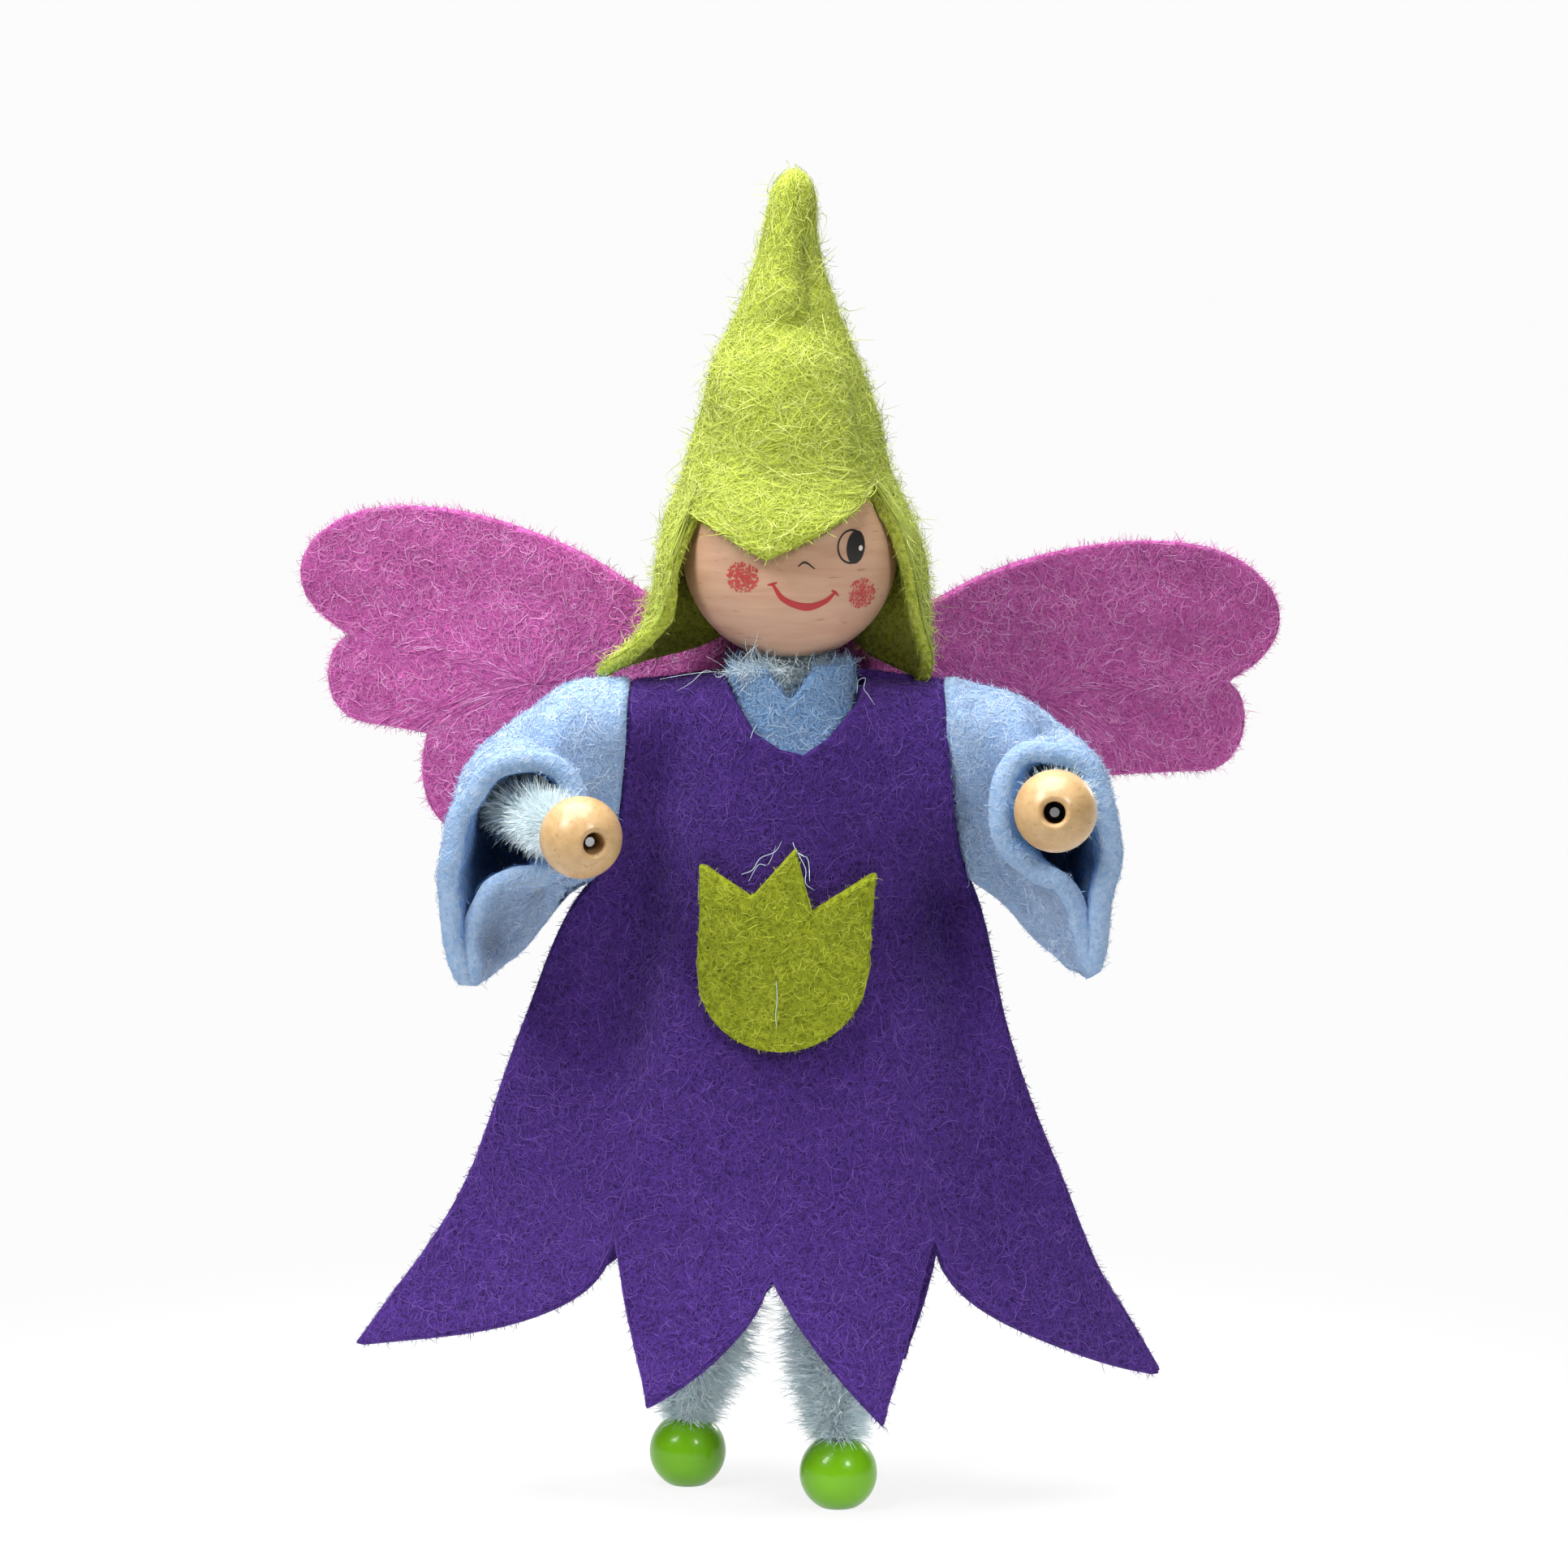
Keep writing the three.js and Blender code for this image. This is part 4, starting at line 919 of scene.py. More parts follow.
# %% [markdown]
# ## Sleeves
# Each sleeve is one piece of soft blue felt folded over the arm. Its two layers hang below the arm and
# are pressed together along a slanted lower edge, so the mouth in front is a drop shape that closes into
# a hanging point. A cloth simulation could fold it; a smooth skin through four rings gives the mouth its
# exact outline.
# %% Sleeve outlines
SLEEVE_FELT = 2.3
ARM_R = 2.9
ARM_BEND = 5.75
ARM_AHEAD = np.radians(14)
SLEEVE_ROOT = 0.8
SLEEVE_ROOM = 1.6
SLEEVE_PINCH = 0.72
PINCH_CURVE = 1.5
# Mouth of each sleeve: turn from the top round the inner side, inward from the elbow, down from the shoulder.
SLEEVE_MOUTH = {
    "right": [(0, 3, 1.7), (0.08, 6.5, 3.3), (0.16, 8, 7), (0.24, 7.2, 11.3), (0.31, 4.2, 13.6),
              (0.37, 1, 13.9), (0.42, -1.5, 15.4), (0.46, -2.6, 18.5), (0.5, -3.4, 24.2), (0.54, -4.8, 21),
              (0.62, -5.3, 16), (0.75, -4.9, 11), (0.87, -3.2, 6.4), (0.95, -0.6, 2.9)],
    "left": [(0, 3.2, 0.9), (0.08, 6.2, 3), (0.16, 6.8, 6.5), (0.24, 6, 10.7), (0.31, 3, 13.4),
             (0.37, 0.5, 14.6), (0.42, -0.8, 17), (0.46, -1.6, 20.5), (0.5, -2.6, 23.6), (0.54, -3.5, 20),
             (0.62, -3.8, 15), (0.75, -4, 10), (0.87, -3.1, 5), (0.95, -0.8, 1.9)],
}
MOUTH_Y = -12
MOUTH_POINT_BACK = 2.5
MOUTH_POINT_DROP = 12
# Rings along the arm: its share, room on the inner and outer side and above, and how far the layers hang.
SLEEVE_RINGS = [(0.35, 2.6, 1.3, 1.9, 15.2), (0.76, 3.2, 1.0, 1.8, 16.2)]
ROOT_HANG = 14.5
print("sleeve mouth points", {side: len(points) for side, points in SLEEVE_MOUTH.items()})


# %% Lines through rings and along the arm
def loop_through(points):
    """A smooth closed line through (turn, value) points."""
    before = [(t - 1, *rest) for t, *rest in points[-3:]]
    after = [(t + 1, *rest) for t, *rest in points[:3]]
    table = np.array(before + points + after)
    return [curve_through(table[:, [0, k]]) for k in range(1, table.shape[1])]


def along_rows(stops, count):
    """Smooth columns through a few rings of points, as a grid."""
    ends = [2 * stops[0] - stops[1], *stops, 2 * stops[-1] - stops[-2]]
    rows = []
    for s in np.linspace(0, len(stops) - 1, count):
        k = min(int(s), len(stops) - 2)
        t = s - k
        a, b, c, d = ends[k:k + 4]
        rows.append(b + 0.5 * t * (c - a + t * (2 * a - 5 * b + 4 * c - d + t * (3 * (b - c) + d - a))))
    return np.stack(rows, 1)


def bezier(a, b, c, d, t):
    return a * (1 - t) ** 3 + 3 * b * t * (1 - t) ** 2 + 3 * c * t * t * (1 - t) + d * t ** 3


def arm_curve(side, sign):
    """Points and directions along the bent upper arm, from the shoulder to the elbow."""
    elbow = joint_at(f"{side}_elbow_turn")
    root = joint_at(f"{side}_shoulder_swing")
    ahead = unit(np.array([-sign * np.sin(ARM_AHEAD), -np.cos(ARM_AHEAD), 0]))
    a, b, c, d = root, root + [sign * ARM_BEND, 0, 0], elbow - ARM_BEND * ahead, elbow

    def at(t):
        t = np.asarray(t)[..., None]
        spot = bezier(a, b, c, d, t)
        way = 3 * (b - a) * (1 - t) ** 2 + 6 * (c - b) * t * (1 - t) + 3 * (d - c) * t * t
        return spot, unit(way)

    return at


# %% Sleeves
def sleeve_sheet(side, sign, seed):
    turn = np.linspace(0, 1, 151)[:-1]
    up, front = np.cos(2 * np.pi * turn), np.sin(2 * np.pi * turn)
    hang = np.maximum(-up, 0)
    pinch = 1 - SLEEVE_PINCH * hang ** PINCH_CURVE
    at = arm_curve(side, sign)
    drop = np.where(up > 0, up * (ARM_R + SLEEVE_ROOM), -hang * ROOT_HANG)
    x = SHOULDER[0] + (dress_side[side](SHOULDER_TOP - SHOULDER[2] - drop) + SLEEVE_ROOT)
    root = np.stack([sign * x, -front * pinch * (ARM_R + SLEEVE_ROOM), SHOULDER[2] + drop], -1)
    stops = [root]
    for share, inner, outer, above, below in SLEEVE_RINGS:
        spot, way = at(share)
        inward = sign * unit(np.cross(way, [0, 0, 1]))
        across = front * pinch * (ARM_R + np.where(front > 0, inner, outer))
        lift = np.where(up > 0, up * (ARM_R + above), -hang * below)
        stops.append(spot + across[:, None] * inward + lift[:, None] * np.array([0, 0, 1]))
    reach, down = (line(turn) for line in loop_through(SLEEVE_MOUTH[side]))
    elbow = joint_at(f"{side}_elbow_turn")
    back = MOUTH_POINT_BACK * np.maximum(down / MOUTH_POINT_DROP - 1, 0)
    stops.append(np.stack([elbow[0] - sign * reach, MOUTH_Y + back, SHOULDER[2] - down], -1))
    middle = along_rows(stops, 70)
    return Sheet(uneven(middle, True, 9, 0.25, seed), True, sign, SLEEVE_FELT)


for side, sign in SIDES.items():
    sleeve = sleeve_sheet(side, sign, 30 + sign)
    felt_piece(f"{side}_sleeve", sleeve, "blue", f"{side}_arm", {
        "nap": lying(sleeve, 7.0, 1.6, 0.4, 0.25, steps=4),
        "fuzz": np.concatenate([standing(sleeve, 4.0, 0.55, 1.3), fringe(sleeve, 20, 0.45, ["low", "top"])]),
        # Lining fibres in the deeper blue: painted shade inside the sleeve.
        "lining": lying(sleeve, 9.0, 1.6, 0.4, 0.2, side=-1, steps=4),
    })

# %% [markdown]
# ## Wings
# The wings are one butterfly of matted orchid felt, glued on by a narrow bridge. Felt has no hinge: it
# bends over the first few millimetres of each root.
# %% Wing outlines
WING_REACH = 48
WING_ROOT_TOP = 3.8
BRIDGE_DIP = 1.4
WING_ROOT_LOW = -12
WING_SWEEP = np.radians(20)
WING_BEND = 5
WING_DROOP = {"right": 0, "left": 5}
WING_LOWER = {"right": 0.5, "left": 1.8}
WING_TRIM = {"right": 0.9, "left": -0.1}
LOWER_LOBE_REACH = {"right": 35, "left": 31}
WING_CENTRE = (22, -2)
WING_STILL = 12
# Lobes as curves that go on from where the last one ended: two points bend once, three bend twice.
UPPER_LOBE = [
    [(5.5, 5.6), (13.3, 10.3)],
    [(19, 14), (WING_REACH - 12, 19.4), (WING_REACH - 3.2, 15.2)],
    [(WING_REACH + 3.2, 12), (WING_REACH + 3.6, 6.4), (WING_REACH - 4, 2.7)],
    [(WING_REACH - 0.2, 1.1), (WING_REACH - 0.4, -6.6), (WING_REACH - 6, -6.9)],
]
LOWER_LOBE = [[(3, -7.4), (0, -7.8)], [(1.7, -13.4), (0, -19.2), (-7, -19.2)]]
LOWER_EDGE = (10, -18.6)


def wing_outline(side):
    """Flat cut of a wing, out from its root and up from the shoulder line, as a dense closed line."""
    reach = LOWER_LOBE_REACH[side]
    droop = np.radians(WING_DROOP[side])
    turn = np.array([[np.cos(droop), -np.sin(droop)], [np.sin(droop), np.cos(droop)]])
    root = np.array([(0, WING_ROOT_LOW), (0, WING_ROOT_TOP)])
    rows = UPPER_LOBE + [[(reach + out, up) for out, up in row] for row in LOWER_LOBE]
    rows = [np.array(row) @ turn for row in rows] + [np.array([LOWER_EDGE @ turn, root[0]])]
    line = [np.linspace(*root, 40)]
    t = np.linspace(0, 1, 60)[1:, None]
    for row in rows:
        start, end = line[-1][-1], row[-1]
        if len(row) == 2:
            row = [start + (row[0] - start) * 2 / 3, end + (row[0] - end) * 2 / 3, end]
        line.append(bezier(start, *row, t))
    return np.concatenate(line)[:-1]


print("wing cuts", {side: np.ptp(wing_outline(side), axis=0).round(1).tolist() for side in SIDES})


# %% Wings
def wing_sheet(side, sign, seed):
    outline = wing_outline(side)
    spoke = outline - WING_CENTRE
    trimmed = spoke * (1 - WING_TRIM[side] / np.linalg.norm(spoke, axis=-1, keepdims=True))
    share = np.concatenate([[0.004], np.linspace(0.03, 1, 64)])
    flat = np.array(WING_CENTRE) + share[None, :, None] * trimmed[:, None]
    out, up = flat[..., 0].clip(0), flat[..., 1]
    steps = np.linspace(0, 60, 1201)
    bend = WING_SWEEP * np.clip(steps / WING_BEND, 0, 1)
    run = np.concatenate([[0], np.cumsum(np.cos(bend))[:-1]]) * steps[1]
    rise = np.concatenate([[0], np.cumsum(np.sin(bend))[:-1]]) * steps[1]
    x = WING_HINGE_X + np.interp(out, steps, run)
    y = WING_BACK + np.interp(out, steps, rise)
    z = SHOULDER_TOP + up - WING_LOWER[side]
    middle = np.stack([sign * x, y, z], -1)
    wave = 0.55 * ripple(middle, 30, seed) + 0.15 * ripple(middle, 7, seed + 1)
    middle[..., 1] += wave * np.clip(out / WING_STILL, 0, 1)
    sheet = Sheet(middle, True, 1)
    facing = np.sign(sheet.normal[:, 5, 1].mean())
    return Sheet(middle, True, -facing)


def bridge_sheet():
    x = np.linspace(-WING_HINGE_X, WING_HINGE_X, 30)[:, None]
    top = WING_ROOT_TOP - BRIDGE_DIP * np.cos(np.pi / 2 * x / WING_HINGE_X)
    z = SHOULDER_TOP + top + (WING_ROOT_LOW - top) * np.linspace(0, 1, 36)[None]
    return Sheet(np.stack([x + 0 * z, WING_BACK + 0 * z, z], -1), False, -1)


bridge = bridge_sheet()
felt_piece("wing_bridge", bridge, "pink", "torso", {
    "nap": np.concatenate([lying(bridge, 5, 2.6, 0.5, 0.25, side=s) for s in (1, -1)]),
})
for side, sign in SIDES.items():
    wing = wing_sheet(side, sign, 50 + sign)
    root = joint_at(f"{side}_wing_flap")
    bend = ("torso", f"{side}_wing", root, root + [sign * WING_BEND, 0, 0])
    felt_piece(f"{side}_wing", wing, "pink", bend, {
        "nap": lying(wing, 7.5, 2.6, 0.6, 0.3),
        "rear_nap": lying(wing, 5, 2.6, 0.6, 0.3, side=-1, steps=4),
        "fuzz": np.concatenate([standing(wing, 1.0, 0.5, 1.6), fringe(wing, 30, 0.6, ["low"])]),
    }, np.ptp(wing_outline(side), axis=0) * MM)

# %% [markdown]
# ## Chenille stems
# A chenille stem is short pile held between two twisted wires. The pile is drawn as a soft core with
# thousands of strips that stand out from it all round, a little uneven and raked, so that its outline is
# never a tube. Each leg is one stem that bends at the knee. A hair system would do for a picture; strips
# are chosen because they go with the exported model.
# %% Pile
PILE_TONES = ("#d5e8f0", "#e6f4f8", "#f6fcfd")
# Cut pile has no shine of its own: it looks soft and pale, with a faint glow along its outline.
PILE_CORE, core_tree = new_material("dyed chenille pile, core")
finished(PILE_CORE, add_node(core_tree, "ShaderNodeBsdfPrincipled", {
    "Base Color": linear("#dbe7ed"), "Roughness": 0.95, "Sheen Weight": 0.3}))
PILE = loose_fibres("dyed chenille pile, strand", PILE_TONES)
# Real pile is finer; it is drawn as coarse as it needs to be to show.
PILE_MM = 0.075
PILE_SHARES = (0.35, 0.4, 0.25)
CORE_SHARE = 0.6
ROOT_SHARE = 0.5


def placed(at, run, line):
    """Points at lengths along a line whose own points lie at the lengths in run."""
    return np.stack([np.interp(at, run, line[:, k]) for k in range(3)], -1)


def round_angles(count):
    return np.linspace(0, 2 * np.pi, count + 1)[:-1]


def tube_object(name, path, radii, material, sides=20):
    way = unit(np.gradient(path, axis=0))
    first = unit(np.cross(way, [0.31, 0.77, 0.55]))
    second = np.cross(way, first)
    a = round_angles(sides)[None, :, None]
    ring = path[:, None] + radii[:, None, None] * (np.cos(a) * first[:, None] + np.sin(a) * second[:, None])
    ring[[0, -1]] = path[[0, -1], None] + 0.02 * (ring[[0, -1]] - path[[0, -1], None])
    points = ring.reshape(-1, 3)
    return mesh_object(name, points, outward(points, grid_quads(len(path), sides, False, True)), [material])


def chenille(name, path, radius, body, nodes, per_mm, ends=(1, 1), ragged=0.18, full=(0.22, 0.78)):
    """Pile round a line of points; ends are the shares of its radius at its ends, full where it is whole."""
    path = np.asarray(path, float)
    reach = run_along(path)
    fine = np.linspace(0, reach[-1], 60)
    line = placed(fine, reach, path)
    size = np.interp(fine / reach[-1], [0, *full, 1], [ends[0], 1, 1, ends[1]]) * radius
    core = tube_object(f"{name}_core", line, CORE_SHARE * size, PILE_CORE)
    count = int(per_mm * reach[-1])
    at = rng.random(count) * reach[-1]
    spot = placed(at, fine, line)
    way = unit(placed(at, fine, np.gradient(line, axis=0)))
    out = unit(np.cross(way, rng.normal(size=way.shape)))
    thick = np.interp(at, fine, size)
    tall = thick * (1 + ragged * rng.normal(size=count)).clip(0.5, 1.35)
    rake = unit(out + way * rng.normal(0, 0.22, (count, 1)))
    t = np.linspace(0, 1, 4)[None, :, None]
    start = spot + ROOT_SHARE * thick[:, None] * out
    bow = rng.normal(0, 0.16, (count, 1, 3)) * thick[:, None, None]
    paths = start[:, None] + (tall - ROOT_SHARE * thick)[:, None, None] * rake[:, None] * t + bow * t * t
    facing = np.broadcast_to(rng.normal(size=(count, 1, 3)), paths.shape)
    pile = strips(f"{name}_pile", np.concatenate([paths, facing], -1), PILE, PILE_MM, PILE_SHARES)
    place(core, body, "pale_pile", *nodes)
    place(pile, body, "pale_pile")
    print(name, "length", reach[-1].round(1), "strands", count)


# %% Stems
# Radii of the stems, and strands to each millimetre: few where clothes hide them.
TRUNK_R = 4.2
NECK_R = 3.4
LEG_R = 4.7
HIDDEN_PILE = 60
NECK_PILE = 700
FOREARM_PILE = 650
LEG_PILE = 800
# Where stems end short of the beads' centres, and the share of a leg on either side of the knee.
NECK_END = 8
WRIST_END = 3.4
ANKLE_END = 3.5
KNEE_SHARE = 0.2
TUFT_STRANDS = 320
TUFT_PLACE = [NECK[0] - 2.6, -4.7, BLOUSE_HIGH - 0.1]
TUFT_SPREAD = [1.7, 0.4, 0.35]
TUFT_WAY = [-0.7, -0.5, 0.2]

torso_low, torso_high = box_of("torso_stem")
for side, sign in SIDES.items():
    x = sign * (torso_high[0] - torso_low[0]) / 4
    column = [(x, 0, torso_low[2]), (x, 0, torso_high[2])]
    chenille(f"{side}_trunk", column, TRUNK_R, "torso", ["torso_stem"] if sign < 0 else [], HIDDEN_PILE)
across = [(-SHOULDER[0], 0, SHOULDER[2]), (SHOULDER[0], 0, SHOULDER[2])]
chenille("shoulder_bar", across, ARM_R, "torso", ["shoulder_stem"], HIDDEN_PILE)
tuft_root = TUFT_PLACE + rng.normal(size=(TUFT_STRANDS, 3)) * TUFT_SPREAD
tuft_way = TUFT_WAY + rng.normal(0, 0.5, (TUFT_STRANDS, 3))
collar_tuft = strips("collar_tuft", tossed(tuft_root, tuft_way, 1.8, 0.5), PILE)
place(collar_tuft, "torso", "pale_pile")
neck_line = [NECK, (NECK[0], NECK[1], HEAD[2] - NECK_END)]
chenille("neck", neck_line, NECK_R, "neck", ["neck_stem"], NECK_PILE, (1, 0.8), 0.3)
for side, sign in SIDES.items():
    upper, _ = arm_curve(side, sign)(np.linspace(0.02, 1, 30))
    chenille(f"{side}_upper_arm", upper, ARM_R, f"{side}_arm", [f"{side}_upper_arm_stem"], HIDDEN_PILE)
    elbow = joint_at(f"{side}_elbow_turn")
    hand = middle_of(f"{side}_hand_bead")
    wrist = elbow + (hand - elbow) * (1 - WRIST_END / np.linalg.norm(hand - elbow))
    stems = [f"{side}_forearm_stem"]
    chenille(f"{side}_forearm", [elbow, wrist], ARM_R, f"{side}_forearm", stems, FOREARM_PILE, (1, 0.8))
    hip, knee = joint_at(f"{side}_hip_swing"), joint_at(f"{side}_knee_bend")
    ankle = middle_of(f"{side}_foot_bead") + [0, 0, ANKLE_END]
    over, under = knee + (hip - knee) * KNEE_SHARE, knee + (ankle - knee) * KNEE_SHARE
    bend = (f"{side}_thigh", f"{side}_shin", over, under)
    stems = [f"{side}_thigh_stem", f"{side}_shin_stem"]
    chenille(f"{side}_leg", [hip, knee, ankle], LEG_R, bend, stems, LEG_PILE, (0.55, 0.55), full=(0.62, 0.78))

# %% [markdown]
# ## Beads
# Head, hands and feet are turned and drilled wooden balls. They are turned again here with many sides and
# with the edge of the bore broken, as tumbling leaves it. The hands are varnished beech, the head is matt
# with a pink stain, and the feet are dipped in green lacquer. A hole could be cut through a ball; turning
# the whole section, bore and all, leaves cleaner edges.
# %% Wood and lacquer
# Growth rings as a small ball cuts them, and the slow drift of their tone.
RING_MM = 0.9
WARP_MM = 6
# Beech pores are finer than this; they are drawn as coarse as they need to be to show.
PORE_MM = 0.28
# Sags in the lacquer: how wide and how deep.
SAG_MM = 2.5
SAG_RELIEF = 0.15


def turned_wood(name, early, late, pore, varnish, axis):
    """Turned beech: growth rings cut by the ball, short dark pores along the grain, varnish on top."""
    material, tree = new_material(name)
    spot = add_node(tree, "ShaderNodeTexCoord").outputs["Object"]
    grain = add_node(tree, "ShaderNodeMapping", {"Vector": spot, "Scale": axis}).outputs[0]
    rings = add_node(tree, "ShaderNodeTexNoise", {
        "Vector": grain, "Scale": 1 / (RING_MM * MM), "Detail": 2.0, "Distortion": 0.4})
    ring = add_node(tree, "ShaderNodeMapRange", {
        "Value": rings.outputs["Fac"], "From Min": 0.35, "From Max": 0.68}).outputs[0]
    warp = add_node(tree, "ShaderNodeTexNoise", {"Vector": grain, "Scale": 1 / (WARP_MM * MM), "Detail": 2.0})
    both = {0: ring, 1: warp.outputs["Fac"]}
    share = add_node(tree, "ShaderNodeMath", both, operation="MULTIPLY").outputs[0]
    wood = add_node(tree, "ShaderNodeMix", {0: share, 6: linear(early), 7: linear(late)}, data_type="RGBA")
    pores = add_node(tree, "ShaderNodeTexNoise", {
        "Vector": grain, "Scale": 1 / (PORE_MM * MM), "Detail": 1.0})
    dots = add_node(tree, "ShaderNodeMapRange", {
        "Value": pores.outputs["Fac"], "From Min": 0.66, "From Max": 0.74, "To Max": 0.5}).outputs[0]
    tones = {0: dots, 6: wood.outputs[2], 7: linear(pore)}
    colour = add_node(tree, "ShaderNodeMix", tones, data_type="RGBA").outputs[2]
    return finished(material, add_node(tree, "ShaderNodeBsdfPrincipled", {
        "Base Color": colour, "Roughness": 0.5, "Coat Weight": varnish, "Coat Roughness": 0.22}))


def dipped_lacquer(name, colour):
    """Thick glossy lacquer from a dip, with a slow ripple that bends its reflections."""
    material, tree = new_material(name)
    spot = add_node(tree, "ShaderNodeTexCoord").outputs["Object"]
    sag = add_node(tree, "ShaderNodeTexNoise", {"Vector": spot, "Scale": 1 / (SAG_MM * MM), "Detail": 1.0})
    relief = {"Height": sag.outputs["Fac"], "Strength": 0.25, "Distance": SAG_RELIEF * MM}
    bump = add_node(tree, "ShaderNodeBump", relief).outputs[0]
    return finished(material, add_node(tree, "ShaderNodeBsdfPrincipled", {
        "Base Color": linear(colour), "Normal": bump, "Roughness": 0.3, "Specular IOR Level": 0.3,
        "Coat Weight": 0.3, "Coat Roughness": 0.05}))


HEAD_WOOD = turned_wood(
    "stained turned beech, matt", "#dcb193", "#c99274", "#a87157", 0.12, (0.12, 0.12, 1.0))
HAND_WOOD = turned_wood("varnished turned beech", "#d1ac79", "#b88f57", "#8b6839", 0.5, (1.0, 0.25, 1.0))
LACQUER = dipped_lacquer("green lacquer, dipped", "#76ba0e")
print("finishes", HEAD_WOOD.name, HAND_WOOD.name, LACQUER.name)

# %% Turned beads
UP = (0, 0, 1)
HEAD_BORE = 3.0
HAND_R = 4.1
HAND_BORE = 1.1
FOOT_R = 4.0
FOOT_BORE = 1.25
BORE_EDGE = 0.5
BEAD_SIDES = 96


def bead(name, node, body, slot, radius, bore, axis, material):
    """A ball turned about its bore: outside, broken edge, wall of the bore, and the other edge."""
    half = np.arccos((bore + BORE_EDGE) / radius)
    top = radius * np.sin(half)
    arc, bend = np.linspace(-half, half, 61), np.radians(np.linspace(0, 90, 7))
    outer = [(radius * np.cos(a), radius * np.sin(a)) for a in arc]
    rim = [(bore + BORE_EDGE * (1 - np.sin(a)), top - BORE_EDGE * (1 - np.cos(a))) for a in bend]
    wall = [(bore, h) for h in np.linspace(top - BORE_EDGE, BORE_EDGE - top, 9)[1:-1]]
    profile = np.array(outer + rim[1:] + wall + [(r, -h) for r, h in rim[:0:-1]])
    axis = unit(np.asarray(axis, float))
    first = unit(np.cross(axis, [0.2, 0.9, 0.1]))
    second = np.cross(axis, first)
    a = round_angles(BEAD_SIDES)[:, None, None]
    ring = profile[None, :, :1] * (np.cos(a) * first + np.sin(a) * second) + profile[None, :, 1:] * axis
    points = (middle_of(node) + ring).reshape(-1, 3)
    quads = grid_quads(BEAD_SIDES, len(profile), True, True)
    place(mesh_object(name, points, outward(points, quads), [material]), body, slot, node)
    print(name, "radius", radius, "bore", bore)


bead("head_ball", "head_bead", "head", "head_wood", HEAD_R, HEAD_BORE, UP, HEAD_WOOD)
for side in SIDES:
    hand, foot = f"{side}_hand_bead", f"{side}_foot_bead"
    forearm = middle_of(hand) - joint_at(f"{side}_elbow_turn")
    bead(f"{side}_hand_ball", hand, f"{side}_forearm", "hand_wood", HAND_R, HAND_BORE, forearm, HAND_WOOD)
    bead(f"{side}_foot_ball", foot, f"{side}_shin", "green_lacquer", FOOT_R, FOOT_BORE, UP, LACQUER)

# %% [markdown]
# ## Painted face
# The face is printed on the ball: a thin red smile, a nose stroke, two black-rimmed eyes that look
# sideways and two stippled cheeks. Each stroke is a very thin skin on the wood. The hat's peak covers the
# doll's right eye. A picture could be wrapped round the ball; strokes of mesh stay sharp from close by.
# %% Inks
def printed_ink(name, colour):
    """Ink printed on the wood: an even colour, a little duller than the varnish round it."""
    material, tree = new_material(name)
    return finished(material, add_node(tree, "ShaderNodeBsdfPrincipled", {
        "Base Color": linear(colour), "Roughness": 0.5, "Coat Weight": 0.12, "Coat Roughness": 0.3}))


RED_INK = printed_ink("printed red ink", "#c4242b")
PINK_INK = printed_ink("stippled red ink", "#cf4743")
BLACK_INK = printed_ink("printed black ink", "#1d1715")
PALE_INK = printed_ink("printed pale ink", "#f3e6d8")
print("inks", RED_INK.name, PINK_INK.name, BLACK_INK.name, PALE_INK.name)

# %% Strokes and dots on the ball
FACE_TURN = np.radians(6.5)
FACE_ROLL = np.radians(7.5)
PRINT_LIFT = 0.03
face_front = np.array([np.sin(FACE_TURN), -np.cos(FACE_TURN), 0])
level = np.array([np.cos(FACE_TURN), np.sin(FACE_TURN), 0])
face_right = level * np.cos(FACE_ROLL) - np.array([0, 0, np.sin(FACE_ROLL)])
face_up = level * np.sin(FACE_ROLL) + np.array([0, 0, np.cos(FACE_ROLL)])
print("face looks along", face_front.round(2))


def on_ball(flat, lift=PRINT_LIFT):
    """Places flat face points (right, up) on the front of the head."""
    deep = np.sqrt(np.maximum(HEAD_R ** 2 - (flat ** 2).sum(-1), 0))
    spot = flat[..., :1] * face_right + flat[..., 1:] * face_up + deep[..., None] * face_front
    return HEAD + unit(spot) * (HEAD_R + lift)


def printed(name, grid, ink, lift=PRINT_LIFT, ring=False):
    points = on_ball(grid, lift)
    quads = grid_quads(*grid.shape[:2], ring, False)
    a, b, c = (points.reshape(-1, 3)[quads[:, k]] for k in range(3))
    if (np.cross(b - a, c - b) @ face_front).sum() < 0:
        quads = quads[:, ::-1]
    made = mesh_object(name, points.reshape(-1, 3), quads, [ink])
    place(made, "head", "head_wood")


def line_through(points, count):
    """A smooth line through points in a plane."""
    share, s = np.linspace(0, 1, len(points)), np.linspace(0, 1, count)
    values = np.array(points, float).T
    return np.stack([curve_through(np.stack([share, row], 1))(s) for row in values], -1)


def stroke(name, points, widths, ink):
    """A brush line through points, as wide as given along it."""
    line = line_through(points, 60)
    way = unit(np.gradient(line, axis=0))
    wide = np.interp(np.linspace(0, 1, 60), *np.array(widths).T)[:, None]
    side = np.stack([-way[:, 1], way[:, 0]], -1) * wide / 2
    printed(name, np.stack([line - side, line, line + side], 1), ink)


def blob(name, centre, half, inner, ink, lift=PRINT_LIFT):
    """An ellipse, or a ring when inner is above zero."""
    a = round_angles(64)
    edge = np.stack([half[0] * np.cos(a), half[1] * np.sin(a)], -1)
    share = np.linspace(max(inner, 0.01), 1, 5)
    printed(name, np.array(centre) + share[None, :, None] * edge[:, None], ink, lift, True)


